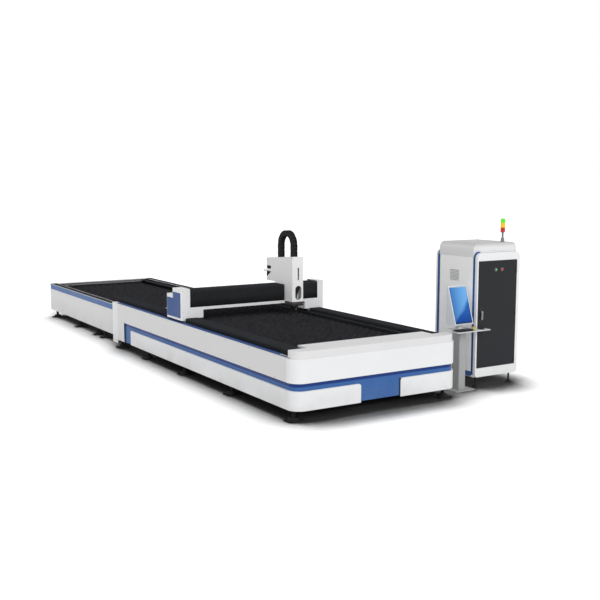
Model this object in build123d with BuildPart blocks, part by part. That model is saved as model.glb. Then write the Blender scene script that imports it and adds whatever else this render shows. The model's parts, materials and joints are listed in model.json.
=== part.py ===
import os
from math import cos, pi, radians, sin

from build123d import *

os.makedirs("parts", exist_ok=True)

# A flat-bed fiber laser cutting machine with an exchange table behind it, a control cabinet and
# an operator stand. The origin is on the floor at the middle of the bed. +X is to the right of
# someone at the front, +Y runs back along the bed and +Z is up. All sizes are in millimetres.

# Bed covers
BED_LENGTH = 5600
BED_WIDTH = 2330
FLOOR_GAP = 140
LOWER_HEIGHT = 220
BAND_HEIGHT = 86
FASCIA_HEIGHT = 269
SIDE_HEIGHT = 277
CAP_HEIGHT = 90
CORNER_RADIUS = 150
SHEET = 4
RECESS = 22
COVER_DEPTH = 40
FASCIA_WRAP = 175
BLUE_PANEL_LEFT = 887
BLUE_PANEL_RIGHT = 1451
LOWER_CORNER_RADIUS = 30
PANEL_JOINT = 2
SIDE_STRIP_START = 4842
SIDE_STRIP_END = 5122
REAR_POST_WIDTH = 210
REAR_POST_DROP = 55
CAP_INSET = 25
CAP_DEPTH = 370
CAP_EDGE_RADIUS = 10

# Welded bed frame
FRAME_LIFT = 30
FRAME_BEAM_WIDTH = 200
FRAME_TOP_Z = 690
FRAME_FRONT_SETBACK = 160
FRAME_REAR_SETBACK = 20
BEAM_WALL = 10
CROSS_BEAM_DEPTH = 120
CROSS_TUBE_HEIGHT = 100
REAR_BEAM_HEIGHT = 200

# Long rails, racks and folding covers
RAIL_X = 1035
RAIL_WIDTH = 34
RAIL_HEIGHT = 38
RACK_SIZE = 25
RACK_X = 992.5
RAIL_END = 40
RUN_GAP = 0.4
SEAT_GAP = 0.3
BELLOWS_INNER_X = 900
BELLOWS_OUTER_X = 1090
BELLOWS_TOP_Z = 790
BELLOWS_WALL = 12
PLEAT_DEPTH = 18
PLEATS = 36
DECK_INNER_X = 825
DECK_TOP_Z = 745

# Gantry
GANTRY_FRONT_Y = 170
GANTRY_TALL_DEPTH = 287
GANTRY_DEPTH = 490
GANTRY_HALF_WIDTH = 1145
GANTRY_TOP_Z = 1185
GANTRY_REAR_TOP_Z = 1045
GANTRY_FOOT_Z = 781
GANTRY_SKIRT_Z = 757
SKIRT_WIDTH = 60
END_COVER_WIDTH = 130
RIGHT_COVER_WIDTH = 105
FOOT_INNER_X = 820
FOOT_TOP_Z = 890
STRIP_HEIGHT = 40
FOOT_RADIUS = 14
SIDE_PLATE_THICKNESS = 3
SIDE_PLATE_BORDER = 35
SIDE_PLATE_DROP = 54
CARRIAGE_THICKNESS = 30
BLOCK_LENGTH = 120
BLOCK_WIDTH = 58
BEAM_FRONT_Y = 240
BEAM_DEPTH = 196
BEAM_HEIGHT = 221
BEAM_BELLOWS_TOP_Z = 1165
BEAM_BELLOWS_FRONT_Y = 180
BEAM_PLEAT = 15
BEAM_PLEATS = 24
PINION_RADIUS = 29.7
PINION_TEETH = 16
MOTOR_SIZE = 80
MOTOR_HEIGHT = 150
DRIVE_Y = 560

# Cross carriage, head and head cover
HEAD_X = 575
HEAD_Y = 10
COVER_WIDTH = 183
COVER_LEFT_X = 475
COVER_FRONT_Y = -51
COVER_BACK_Y = 166
COVER_REAR_Y = 687
COVER_BOTTOM_Z = 927
COVER_SHELF_Z = 1180
COVER_FRONT_TOP_Z = 1572
COVER_REAR_TOP_Z = 1515
COVER_SHEET = 4
COVER_SLOT_WIDTH = 20
COVER_SLOT_HEIGHT = 175
COVER_SLOT_Z = 1325
WINDOW_WIDTH = 92
WINDOW_HEIGHT = 193
WINDOW_Z = 1055
CROSS_RAIL_SIZE = 20
CROSS_RAIL_LOW_Z = 950
CROSS_RAIL_PITCH = 120
SADDLE_THICKNESS = 22
SLIDE_PLATE_BACK_Y = 102
SLIDE_PLATE_THICKNESS = 16
Z_PLATE_FRONT_Y = 128
Z_PLATE_THICKNESS = 20
SCREW_RADIUS = 8
HEAD_RADIUS = 38
NOZZLE_TIP_Z = 785
NOZZLE_RADIUS = 3

# Cable chain over the head
CHAIN_X = 566.5
CHAIN_SIZE = 60
CHAIN_FRONT_Y = 55.5
CHAIN_REAR_Y = 413
CHAIN_TOP_Z = 1930
CHAIN_ARC_LINKS = 11
CHAIN_FRONT_LINKS = 8
CHAIN_REAR_LINKS = 4
CHAIN_LINK_GAP = 0.6

# Pallets, their slats and their rails on two levels
PALLET_LENGTH = 3400
PALLET_HALF_WIDTH = 820
PALLET_BEAM_WIDTH = 50
PALLET_BEAM_HEIGHT = 80
PALLET_TIE_HEIGHT = 20
PALLET_BOTTOM_Z = 620
PALLET_FRONT_Y = -2110
LEVEL_DROP = 145
PALLET_STROKE = 5200
SLAT_PITCH = 136
SLAT_COUNT = 24
SLAT_THICKNESS = 4
SLAT_HEIGHT = 100
SLAT_TOOTH = 45
SLAT_TEETH = 12
SLAT_LEDGE = 20
WHEEL_RADIUS = 35
WHEEL_WIDTH = 30
PALLET_RAIL_WIDTH = 100
PALLET_RAIL_THICKNESS = 10

# Exchange table
TABLE_LENGTH = 3840
TABLE_GAP = 10
TABLE_TOP_Z = 645
TABLE_LIP = 20
STRIPE_HEIGHT = 78
STRIPE_RECESS = 6
TABLE_PANEL_DEPTH = 15
TABLE_BEAM_WIDTH = 110
TABLE_BEAM_BOTTOM_Z = 200
DRIVE_SHAFT_Z = 340
SPROCKET_RADIUS = 50

# Machine feet
FOOT_PAD_RADIUS = 72
FOOT_PAD_HEIGHT = 34
FOOT_STEM_RADIUS = 24
FOOT_PLATE = 200
FOOT_PLATE_HEIGHT = 12
ANCHOR_RADIUS = 9
ANCHOR_OFFSET = 82
FOOT_X = 1070

# Control cabinet
CABINET_LEFT_X = 1704
CABINET_WIDTH = 735
CABINET_FRONT_Y = -2515
CABINET_DEPTH = 793
CABINET_BOTTOM_Z = 145
CABINET_TOP_Z = 1855
CABINET_SEAM_Z = 1680
CABINET_FRONT_SEAM_Z = 1740
CABINET_EDGE_RADIUS = 28
CABINET_FRAME = 31
CABINET_STRIPE = 55
CABINET_SKIN = 6
CABINET_STRIPE_DEPTH = 4
CABINET_WALL = 4
CABINET_FOOT_RADIUS = 34
DOOR_LEFT_GAP = 22
DOOR_RIGHT_GAP = 51
DOOR_BOTTOM_Z = 263
DOOR_TOP_Z = 1634
DOOR_THICKNESS = 20
DOOR_PROUD = 4
DOOR_GAP = 3
VENT_Y = -2087
VENT_Z = 1431
VENT_WIDTH = 174
VENT_SLOT = 9
VENT_PITCH = 18
VENT_SLOTS = 8
HANDLE_X = 1780
HANDLE_TOP_Z = 1002
HANDLE_WIDTH = 28
HANDLE_LENGTH = 111
BUTTON_Z = 1517
START_X = 2016
STOP_X = 2124
BUTTON_RADIUS = 14
BUTTON_STEM_RADIUS = 8

# Signal lamp
TOWER_X = 2280
TOWER_Y = -2350
LAMP_RADIUS = 31
LAMP_HEIGHT = 59
POLE_RADIUS = 11
POLE_HEIGHT = 104

# Operator stand
STAND_X = 1526
STAND_Y = -2403
COLUMN_WIDTH = 110
COLUMN_DEPTH = 150
STAND_PLATE = 310
STAND_PLATE_THICKNESS = 10
STAND_HOLE_SPACING = 260
STAND_HOLE_RADIUS = 6
TRAY_Z = 784
TRAY_LEFT_X = 1290
TRAY_RIGHT_X = 1825
TRAY_FRONT_Y = -2650
TRAY_BACK_Y = -2522
TRAY_LIP = 14
MONITOR_WIDTH = 302
MONITOR_BOTTOM_Z = 840
MONITOR_FRONT_Y = -2500
MONITOR_LENGTH = 509
MONITOR_LEAN = 18.4
MONITOR_TOP_DEPTH = 20
BEZEL = 16
SCREEN_POCKET = 3
ESTOP_X = 1600
ESTOP_Y = -2585
ESTOP_RADIUS = 20

# Places that follow from the sizes above
HALF_WIDTH = BED_WIDTH / 2
FRONT_Y = -BED_LENGTH / 2
REAR_Y = BED_LENGTH / 2
LOWER_TOP_Z = FLOOR_GAP + LOWER_HEIGHT
BAND_TOP_Z = LOWER_TOP_Z + BAND_HEIGHT
SEAM_Z = BAND_TOP_Z + FASCIA_HEIGHT
SIDE_TOP_Z = BAND_TOP_Z + SIDE_HEIGHT
CAP_TOP_Z = SEAM_Z + CAP_HEIGHT
WRAP_Y = FRONT_Y + FASCIA_WRAP
FRAME_HALF = HALF_WIDTH - COVER_DEPTH
FRAME_INNER = FRAME_HALF - FRAME_BEAM_WIDTH
FRAME_BOTTOM_Z = FLOOR_GAP + FRAME_LIFT
FRAME_FRONT_Y = FRONT_Y + FRAME_FRONT_SETBACK
FRAME_REAR_Y = REAR_Y - FRAME_REAR_SETBACK
FRAME_LENGTH = FRAME_REAR_Y - FRAME_FRONT_Y
GANTRY_REAR_Y = GANTRY_FRONT_Y + GANTRY_DEPTH
GANTRY_STEP_Y = GANTRY_FRONT_Y + GANTRY_TALL_DEPTH
BEAM_BOTTOM_Z = FOOT_TOP_Z + SHEET
BEAM_TOP_Z = BEAM_BOTTOM_Z + BEAM_HEIGHT
BEAM_REAR_Y = BEAM_FRONT_Y + BEAM_DEPTH
STRIP_TOP_Z = FOOT_TOP_Z + STRIP_HEIGHT
CARRIAGE_TOP_Z = GANTRY_FOOT_Z + CARRIAGE_THICKNESS
PALLET_REAR_Y = PALLET_FRONT_Y + PALLET_LENGTH
SLAT_BOTTOM_Z = PALLET_BOTTOM_Z + PALLET_TIE_HEIGHT
PALLET_RAIL_Z = PALLET_BOTTOM_Z + 30 - WHEEL_RADIUS - SEAT_GAP
TABLE_FRONT_Y = REAR_Y + TABLE_GAP
TABLE_REAR_Y = TABLE_FRONT_Y + TABLE_LENGTH
TABLE_FRAME_HALF = FRAME_INNER + TABLE_BEAM_WIDTH
TABLE_HALF_WIDTH = TABLE_FRAME_HALF + TABLE_PANEL_DEPTH
CABINET_RIGHT_X = CABINET_LEFT_X + CABINET_WIDTH
CABINET_REAR_Y = CABINET_FRONT_Y + CABINET_DEPTH
CABINET_X = CABINET_LEFT_X + CABINET_WIDTH / 2
COVER_X = COVER_LEFT_X + COVER_WIDTH / 2
COVER_RIGHT_X = COVER_LEFT_X + COVER_WIDTH


def face_x(x):
    """Plane across the machine, drawn in y and z."""
    return Plane.YZ.offset(x)


def face_y(y):
    """Plane across the long axis, drawn in x and z. Negative amounts extrude to +Y."""
    return Plane.XZ.offset(-y)


def face_z(z):
    """Level plane, drawn in x and y."""
    return Plane.XY.offset(z)


def front_outline(inset=0):
    """Plan of the front of the bed: round front corners and straight sides as far as the wrap."""
    radius = CORNER_RADIUS - inset
    half = HALF_WIDTH - inset
    front = FRONT_Y + inset
    with BuildSketch() as outline:
        with BuildLine():
            Line((-half, WRAP_Y), (-half, front + radius))
            CenterArc((-half + radius, front + radius), radius, 180, 90)
            Line((-half + radius, front), (half - radius, front))
            CenterArc((half - radius, front + radius), radius, 270, 90)
            Line((half, front + radius), (half, WRAP_Y))
            Line((half, WRAP_Y), (-half, WRAP_Y))
        make_face()
    return outline.sketch


def frame_footprint():
    """Plan of the frame, which the front flanges butt against."""
    with BuildSketch() as footprint:
        with Locations((0, FRAME_FRONT_Y + FRAME_LENGTH / 2)):
            Rectangle(2 * FRAME_HALF, FRAME_LENGTH)
    return footprint.sketch


# Bed frame: two box beams and the tubes between them
with BuildPart() as bed_side_beams:
    with BuildSketch(face_y(FRAME_FRONT_Y)):
        with Locations(
            (FRAME_HALF - FRAME_BEAM_WIDTH / 2, (FRAME_BOTTOM_Z + FRAME_TOP_Z) / 2),
            (-FRAME_HALF + FRAME_BEAM_WIDTH / 2, (FRAME_BOTTOM_Z + FRAME_TOP_Z) / 2),
        ):
            Rectangle(FRAME_BEAM_WIDTH, FRAME_TOP_Z - FRAME_BOTTOM_Z)
            Rectangle(
                FRAME_BEAM_WIDTH - 2 * BEAM_WALL,
                FRAME_TOP_Z - FRAME_BOTTOM_Z - 2 * BEAM_WALL,
                mode=Mode.SUBTRACT,
            )
    extrude(amount=-FRAME_LENGTH)
bed_side_beams.part.label = "bed_side_beams"
export_step(bed_side_beams.part, "parts/bed_side_beams.step")

cross_tube_ys = [-1750, -350, 1050]
with BuildPart() as bed_cross_beams:
    with BuildSketch(face_x(-FRAME_INNER)):
        with Locations((FRAME_FRONT_Y + CROSS_BEAM_DEPTH / 2, (FRAME_BOTTOM_Z + FRAME_TOP_Z) / 2)):
            Rectangle(CROSS_BEAM_DEPTH, FRAME_TOP_Z - FRAME_BOTTOM_Z)
            Rectangle(
                CROSS_BEAM_DEPTH - 2 * BEAM_WALL,
                FRAME_TOP_Z - FRAME_BOTTOM_Z - 2 * BEAM_WALL,
                mode=Mode.SUBTRACT,
            )
        with Locations((FRAME_REAR_Y - CROSS_BEAM_DEPTH / 2, FRAME_BOTTOM_Z + REAR_BEAM_HEIGHT / 2)):
            Rectangle(CROSS_BEAM_DEPTH, REAR_BEAM_HEIGHT)
            Rectangle(
                CROSS_BEAM_DEPTH - 2 * BEAM_WALL,
                REAR_BEAM_HEIGHT - 2 * BEAM_WALL,
                mode=Mode.SUBTRACT,
            )
        with Locations(*[(y, FRAME_BOTTOM_Z + CROSS_TUBE_HEIGHT / 2) for y in cross_tube_ys]):
            Rectangle(CROSS_TUBE_HEIGHT, CROSS_TUBE_HEIGHT)
            Rectangle(
                CROSS_TUBE_HEIGHT - 2 * BEAM_WALL,
                CROSS_TUBE_HEIGHT - 2 * BEAM_WALL,
                mode=Mode.SUBTRACT,
            )
    extrude(amount=2 * FRAME_INNER)
bed_cross_beams.part.label = "bed_cross_beams"
export_step(bed_cross_beams.part, "parts/bed_cross_beams.step")

# Machine feet: a cone pad and a levelling stem under each beam, on a floor plate at each
# outer corner of the bed and of the table
bed_foot_end_y = REAR_Y - 100 - FOOT_PAD_RADIUS
bed_foot_ys = [-bed_foot_end_y, -1150, 250, 1550, bed_foot_end_y]
table_foot_x = TABLE_FRAME_HALF - TABLE_BEAM_WIDTH / 2
table_foot_ys = [TABLE_FRONT_Y + share * TABLE_LENGTH for share in (0.227, 0.318, 0.583, 0.948)]
cabinet_foot_xs = [CABINET_LEFT_X + 73, CABINET_RIGHT_X - 73]
cabinet_foot_ys = [CABINET_FRONT_Y + 75, CABINET_REAR_Y - 75]
bed_feet = [(s * FOOT_X, y) for s in (-1, 1) for y in bed_foot_ys]
table_feet = [(s * table_foot_x, y) for s in (-1, 1) for y in table_foot_ys]
anchor_feet = [(s * FOOT_X, y) for s in (-1, 1) for y in (bed_foot_ys[0], bed_foot_ys[-1])]
with BuildPart() as levelling_feet:
    for places, top_z in ((bed_feet, FRAME_BOTTOM_Z), (table_feet, TABLE_BEAM_BOTTOM_Z)):
        with BuildSketch(face_z(FOOT_PLATE_HEIGHT)):
            with Locations(*places):
                RegularPolygon(FOOT_PAD_RADIUS, 16)
        extrude(amount=FOOT_PAD_HEIGHT, taper=30)
        with BuildSketch(face_z(FOOT_PLATE_HEIGHT + FOOT_PAD_HEIGHT)):
            with Locations(*places):
                RegularPolygon(FOOT_STEM_RADIUS, 12)
        extrude(amount=top_z - FOOT_PLATE_HEIGHT - FOOT_PAD_HEIGHT)
        with BuildSketch(face_z(0)):
            with Locations(*places):
                RectangleRounded(FOOT_PLATE, 2 * FOOT_PAD_RADIUS, 10)
        extrude(amount=FOOT_PLATE_HEIGHT)
    with BuildSketch(face_z(0)):
        with Locations(*[(x + (ANCHOR_OFFSET if x > 0 else -ANCHOR_OFFSET), y) for x, y in anchor_feet]):
            Circle(ANCHOR_RADIUS)
    extrude(amount=FOOT_PLATE_HEIGHT, mode=Mode.SUBTRACT)
    with BuildSketch(face_z(0)):
        with Locations(*[(x, y) for x in cabinet_foot_xs for y in cabinet_foot_ys]):
            RegularPolygon(CABINET_FOOT_RADIUS, 16)
    extrude(amount=FOOT_PAD_HEIGHT, taper=15)
    with BuildSketch(face_z(FOOT_PAD_HEIGHT)):
        with Locations(*[(x, y) for x in cabinet_foot_xs for y in cabinet_foot_ys]):
            RegularPolygon(FOOT_STEM_RADIUS / 2, 12)
    extrude(amount=CABINET_BOTTOM_Z - FOOT_PAD_HEIGHT)
levelling_feet.part.label = "levelling_feet"
export_step(levelling_feet.part, "parts/levelling_feet.step")

# Front fascia: a bent wall round the front with a flange to the frame at the bottom and a
# flange for the top cover
with BuildPart() as front_fascia:
    with BuildSketch(face_z(BAND_TOP_Z)):
        add(front_outline())
        add(front_outline(SHEET), mode=Mode.SUBTRACT)
    extrude(amount=FASCIA_HEIGHT)
    with BuildSketch(face_z(BAND_TOP_Z)):
        add(front_outline())
        add(frame_footprint(), mode=Mode.SUBTRACT)
    extrude(amount=SHEET)
    with BuildSketch(face_z(SEAM_Z)):
        add(front_outline())
        add(front_outline(COVER_DEPTH + CAP_INSET), mode=Mode.SUBTRACT)
    extrude(amount=-SHEET)
front_fascia.part.label = "front_fascia"
export_step(front_fascia.part, "parts/front_fascia.step")

# Front top cover: a shallow tray turned over, flush at the front and set in at the sides,
# with a notch at each end for the folding covers
cap_half = HALF_WIDTH - CAP_INSET
cap_radius = CORNER_RADIUS - SHEET
cap_notch_x = BELLOWS_INNER_X - 5
cap_rear_y = FRONT_Y + CAP_DEPTH
with BuildSketch() as cap_plan:
    with BuildLine():
        Line((-cap_half, WRAP_Y), (-cap_half, FRONT_Y + cap_radius))
        CenterArc((-cap_half + cap_radius, FRONT_Y + cap_radius), cap_radius, 180, 90)
        Line((-cap_half + cap_radius, FRONT_Y), (cap_half - cap_radius, FRONT_Y))
        CenterArc((cap_half - cap_radius, FRONT_Y + cap_radius), cap_radius, 270, 90)
        Polyline(
            (cap_half, FRONT_Y + cap_radius),
            (cap_half, WRAP_Y),
            (cap_notch_x, WRAP_Y),
            (cap_notch_x, cap_rear_y),
            (-cap_notch_x, cap_rear_y),
            (-cap_notch_x, WRAP_Y),
            (-cap_half, WRAP_Y),
        )
    make_face()
with BuildPart() as front_top_cover:
    with BuildSketch(face_z(SEAM_Z)):
        add(cap_plan.sketch)
    extrude(amount=CAP_HEIGHT)
    top_edges = front_top_cover.edges().group_by(Axis.Z)[-1]
    fillet(top_edges.filter_by(lambda edge: edge.center().Y < WRAP_Y - 1), CAP_EDGE_RADIUS)
    with BuildSketch(face_z(SEAM_Z)):
        add(cap_plan.sketch)
        offset(amount=-CAP_EDGE_RADIUS, mode=Mode.REPLACE)
    extrude(amount=CAP_HEIGHT - SHEET, mode=Mode.SUBTRACT)
front_top_cover.part.label = "front_top_cover"
export_step(front_top_cover.part, "parts/front_top_cover.step")

# Side panels: a bent sheet along each side, with a full-height tail behind the blue strip
tail_start_y = FRONT_Y + SIDE_STRIP_END
with BuildPart() as side_panels:
    with BuildSketch(face_y(WRAP_Y)):
        Polygon(
            (HALF_WIDTH, BAND_TOP_Z),
            (HALF_WIDTH, SIDE_TOP_Z),
            (BELLOWS_OUTER_X + 2, SIDE_TOP_Z),
            (BELLOWS_OUTER_X + 2, FRAME_TOP_Z),
            (BELLOWS_OUTER_X + 2 + SHEET, FRAME_TOP_Z),
            (BELLOWS_OUTER_X + 2 + SHEET, SIDE_TOP_Z - SHEET),
            (HALF_WIDTH - SHEET, SIDE_TOP_Z - SHEET),
            (HALF_WIDTH - SHEET, BAND_TOP_Z + SHEET),
            (FRAME_HALF, BAND_TOP_Z + SHEET),
            (FRAME_HALF, BAND_TOP_Z),
            align=None,
        )
    extrude(amount=-(REAR_Y - WRAP_Y))
    with BuildSketch(face_y(tail_start_y)):
        with Locations((HALF_WIDTH - SHEET / 2, (FLOOR_GAP + BAND_TOP_Z) / 2)):
            Rectangle(SHEET, BAND_TOP_Z - FLOOR_GAP)
    extrude(amount=-(REAR_Y - tail_start_y))
    mirror(about=Plane.YZ)
side_panels.part.label = "side_panels"
export_step(side_panels.part, "parts/side_panels.step")

# Blue panels in the recess: round the front with the middle panel, and along both sides with
# the upright strip near the rear
blue_left_x = BLUE_PANEL_LEFT - HALF_WIDTH
blue_right_x = BLUE_PANEL_RIGHT - HALF_WIDTH
strip_start_y = FRONT_Y + SIDE_STRIP_START
with BuildPart() as front_recess:
    with BuildSketch(face_z(LOWER_TOP_Z)):
        add(front_outline(RECESS))
        add(front_outline(RECESS + SHEET), mode=Mode.SUBTRACT)
    extrude(amount=BAND_HEIGHT)
    with BuildSketch(face_y(FRONT_Y + RECESS + SHEET)):
        with Locations(((blue_left_x + blue_right_x) / 2, (FLOOR_GAP + 13 + BAND_TOP_Z) / 2)):
            Rectangle(blue_right_x - blue_left_x, BAND_TOP_Z - FLOOR_GAP - 13)
    extrude(amount=SHEET)
with BuildPart() as side_recess:
    with BuildSketch(face_x(HALF_WIDTH - RECESS - SHEET), face_x(RECESS - HALF_WIDTH)):
        Polygon(
            (WRAP_Y, LOWER_TOP_Z),
            (strip_start_y, LOWER_TOP_Z),
            (strip_start_y, FLOOR_GAP),
            (tail_start_y, FLOOR_GAP),
            (tail_start_y, BAND_TOP_Z),
            (WRAP_Y, BAND_TOP_Z),
            align=None,
        )
    extrude(amount=SHEET)
recess_panels = Compound(label="recess_panels", children=[front_recess.part, *side_recess.part.solids()])
export_step(recess_panels, "parts/recess_panels.step")

# Lower panels: one round each front corner and one along each side
with BuildPart() as lower_panels:
    with BuildSketch(face_z(FLOOR_GAP)):
        add(front_outline())
        add(front_outline(SHEET), mode=Mode.SUBTRACT)
    extrude(amount=LOWER_HEIGHT)
    with BuildSketch(face_z(LOWER_TOP_Z)):
        add(front_outline())
        add(frame_footprint(), mode=Mode.SUBTRACT)
    extrude(amount=-SHEET)
    with BuildSketch(face_y(FRONT_Y)):
        Polygon(
            (blue_left_x - LOWER_CORNER_RADIUS, LOWER_TOP_Z),
            (blue_left_x, LOWER_TOP_Z - LOWER_CORNER_RADIUS),
            (blue_left_x, FLOOR_GAP),
            (blue_right_x, FLOOR_GAP),
            (blue_right_x, LOWER_TOP_Z - LOWER_CORNER_RADIUS),
            (blue_right_x + LOWER_CORNER_RADIUS, LOWER_TOP_Z),
            align=None,
        )
        with Locations(
            (blue_left_x - LOWER_CORNER_RADIUS, LOWER_TOP_Z - LOWER_CORNER_RADIUS),
            (blue_right_x + LOWER_CORNER_RADIUS, LOWER_TOP_Z - LOWER_CORNER_RADIUS),
        ):
            Circle(LOWER_CORNER_RADIUS, mode=Mode.SUBTRACT)
        with Locations(((blue_left_x + blue_right_x) / 2, LOWER_TOP_Z - LOWER_CORNER_RADIUS / 2)):
            Rectangle(blue_right_x - blue_left_x, LOWER_CORNER_RADIUS)
    extrude(amount=-(COVER_DEPTH + FRAME_FRONT_SETBACK), mode=Mode.SUBTRACT)
    side_start_y = WRAP_Y + PANEL_JOINT
    with BuildSketch(face_x(HALF_WIDTH - SHEET), face_x(-HALF_WIDTH)):
        with Locations(((side_start_y + strip_start_y) / 2, FLOOR_GAP + LOWER_HEIGHT / 2)):
            Rectangle(strip_start_y - side_start_y, LOWER_HEIGHT)
    extrude(amount=SHEET)
    with BuildSketch(face_y(side_start_y)):
        with Locations(
            ((FRAME_HALF + HALF_WIDTH) / 2, LOWER_TOP_Z - SHEET / 2),
            (-(FRAME_HALF + HALF_WIDTH) / 2, LOWER_TOP_Z - SHEET / 2),
        ):
            Rectangle(COVER_DEPTH, SHEET)
    extrude(amount=-(strip_start_y - side_start_y - LOWER_CORNER_RADIUS))
lower_panels.part.label = "lower_panels"
export_step(lower_panels.part, "parts/lower_panels.step")

# Rear corner covers: an upright angle round each rear corner, standing proud of the side
with BuildPart() as rear_covers:
    with BuildSketch(face_z(FLOOR_GAP - REAR_POST_DROP)):
        Polygon(
            (HALF_WIDTH, REAR_Y - REAR_POST_WIDTH),
            (HALF_WIDTH + SHEET, REAR_Y - REAR_POST_WIDTH),
            (HALF_WIDTH + SHEET, REAR_Y + SHEET),
            (FRAME_INNER, REAR_Y + SHEET),
            (FRAME_INNER, REAR_Y),
            (HALF_WIDTH, REAR_Y),
            align=None,
        )
    extrude(amount=SIDE_TOP_Z - FLOOR_GAP + REAR_POST_DROP)
    mirror(about=Plane.YZ)
rear_covers.part.label = "rear_covers"
export_step(rear_covers.part, "parts/rear_covers.step")

# Deck plates beside the pallet: a folded sheet hung on the inner face of each side beam
deck_step_x = BELLOWS_INNER_X - 2
with BuildPart() as side_decks:
    with BuildSketch(face_y(cap_rear_y)):
        Polygon(
            (FRAME_INNER, FRAME_TOP_Z - 50),
            (FRAME_INNER, FRAME_TOP_Z),
            (deck_step_x, FRAME_TOP_Z),
            (deck_step_x, DECK_TOP_Z),
            (DECK_INNER_X, DECK_TOP_Z),
            (DECK_INNER_X, DECK_TOP_Z - 45),
            (DECK_INNER_X + SHEET, DECK_TOP_Z - 45),
            (DECK_INNER_X + SHEET, DECK_TOP_Z - SHEET),
            (deck_step_x - SHEET, DECK_TOP_Z - SHEET),
            (deck_step_x - SHEET, FRAME_TOP_Z - SHEET),
            (FRAME_INNER - SHEET, FRAME_TOP_Z - SHEET),
            (FRAME_INNER - SHEET, FRAME_TOP_Z - 50),
            align=None,
        )
    extrude(amount=-(FRAME_REAR_Y - cap_rear_y))
    mirror(about=Plane.YZ)
side_decks.part.label = "side_decks"
export_step(side_decks.part, "parts/side_decks.step")

# Long guides: a waisted rail and a rack on each side beam
rail_start_y = FRAME_FRONT_Y + RAIL_END
rail_length = FRAME_LENGTH - 2 * RAIL_END
with BuildPart() as y_guides:
    with BuildSketch(face_y(rail_start_y)):
        with Locations((RAIL_X, FRAME_TOP_Z + RAIL_HEIGHT / 2)):
            Rectangle(RAIL_WIDTH, RAIL_HEIGHT)
            with Locations((-RAIL_WIDTH / 2, 2), (RAIL_WIDTH / 2, 2)):
                Rectangle(8, 12, mode=Mode.SUBTRACT)
        with Locations((RACK_X, FRAME_TOP_Z + RACK_SIZE / 2)):
            Rectangle(RACK_SIZE, RACK_SIZE)
    extrude(amount=-rail_length)
    mirror(about=Plane.YZ)
y_guides.part.label = "y_guides"
export_step(y_guides.part, "parts/y_guides.step")


def folds(start, end, count, high, low):
    """Zigzag from start to end between two heights, as points that begin and end high."""
    step = (end - start) / count
    points = [(start, high)]
    for index in range(count):
        points += [(start + (index + 0.5) * step, low), (start + (index + 1) * step, high)]
    return points


# Folding covers over the long rails, front and rear of the gantry. The top and both sides are
# pleated, and a tunnel inside clears the rail and the rack.
bellows_bottom_z = FRAME_TOP_Z + SEAT_GAP
rear_end_y = REAR_Y - SEAT_GAP
for name, start_y, end_y in (
    ("y_bellows_front", WRAP_Y + SEAT_GAP, GANTRY_FRONT_Y - SEAT_GAP),
    ("y_bellows_rear", GANTRY_REAR_Y + SEAT_GAP, rear_end_y),
):
    top_line = folds(start_y, end_y, PLEATS, BELLOWS_TOP_Z, BELLOWS_TOP_Z - PLEAT_DEPTH)
    outer = folds(start_y, end_y, PLEATS, BELLOWS_OUTER_X, BELLOWS_OUTER_X - PLEAT_DEPTH / 2)
    inner = folds(start_y, end_y, PLEATS, BELLOWS_INNER_X, BELLOWS_INNER_X + PLEAT_DEPTH / 2)
    with BuildPart() as bellows:
        with BuildSketch(face_x(BELLOWS_INNER_X)):
            Polygon(*top_line, (end_y, bellows_bottom_z), (start_y, bellows_bottom_z), align=None)
        extrude(amount=BELLOWS_OUTER_X - BELLOWS_INNER_X)
        with BuildSketch(face_z(bellows_bottom_z)):
            Polygon(*[(x, y) for y, x in outer], *[(x, y) for y, x in reversed(inner)], align=None)
        extrude(amount=BELLOWS_TOP_Z - bellows_bottom_z, mode=Mode.INTERSECT)
        with BuildSketch(face_y(start_y)):
            with Locations(((BELLOWS_INNER_X + BELLOWS_OUTER_X) / 2, bellows_bottom_z)):
                Rectangle(
                    BELLOWS_OUTER_X - BELLOWS_INNER_X - 2 * BELLOWS_WALL - PLEAT_DEPTH,
                    2 * (BELLOWS_TOP_Z - bellows_bottom_z - PLEAT_DEPTH - BELLOWS_WALL),
                )
        extrude(amount=-(end_y - start_y), mode=Mode.SUBTRACT)
        mirror(about=Plane.YZ)
    bellows.part.label = name
    export_step(bellows.part, f"parts/{name}.step")

# Pallet rails: steel angles on two levels, in the bed and on the exchange table
rail_drop = 60
table_rear_beam_y = TABLE_REAR_Y - TABLE_PANEL_DEPTH - TABLE_BEAM_WIDTH / 2
with BuildPart() as pallet_rails:
    for start_y, end_y in ((FRAME_FRONT_Y + CROSS_BEAM_DEPTH, REAR_Y - 2), (TABLE_FRONT_Y, table_rear_beam_y)):
        with BuildSketch(face_y(start_y)):
            for top_z in (PALLET_RAIL_Z, PALLET_RAIL_Z - LEVEL_DROP):
                Polygon(
                    (FRAME_INNER, top_z),
                    (FRAME_INNER - PALLET_RAIL_WIDTH, top_z),
                    (FRAME_INNER - PALLET_RAIL_WIDTH, top_z - PALLET_RAIL_THICKNESS),
                    (FRAME_INNER - PALLET_RAIL_THICKNESS, top_z - PALLET_RAIL_THICKNESS),
                    (FRAME_INNER - PALLET_RAIL_THICKNESS, top_z - rail_drop),
                    (FRAME_INNER, top_z - rail_drop),
                    align=None,
                )
        extrude(amount=-(end_y - start_y))
    mirror(about=Plane.YZ)
pallet_rails.part.label = "pallet_rails"
export_step(pallet_rails.part, "parts/pallet_rails.step")

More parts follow.
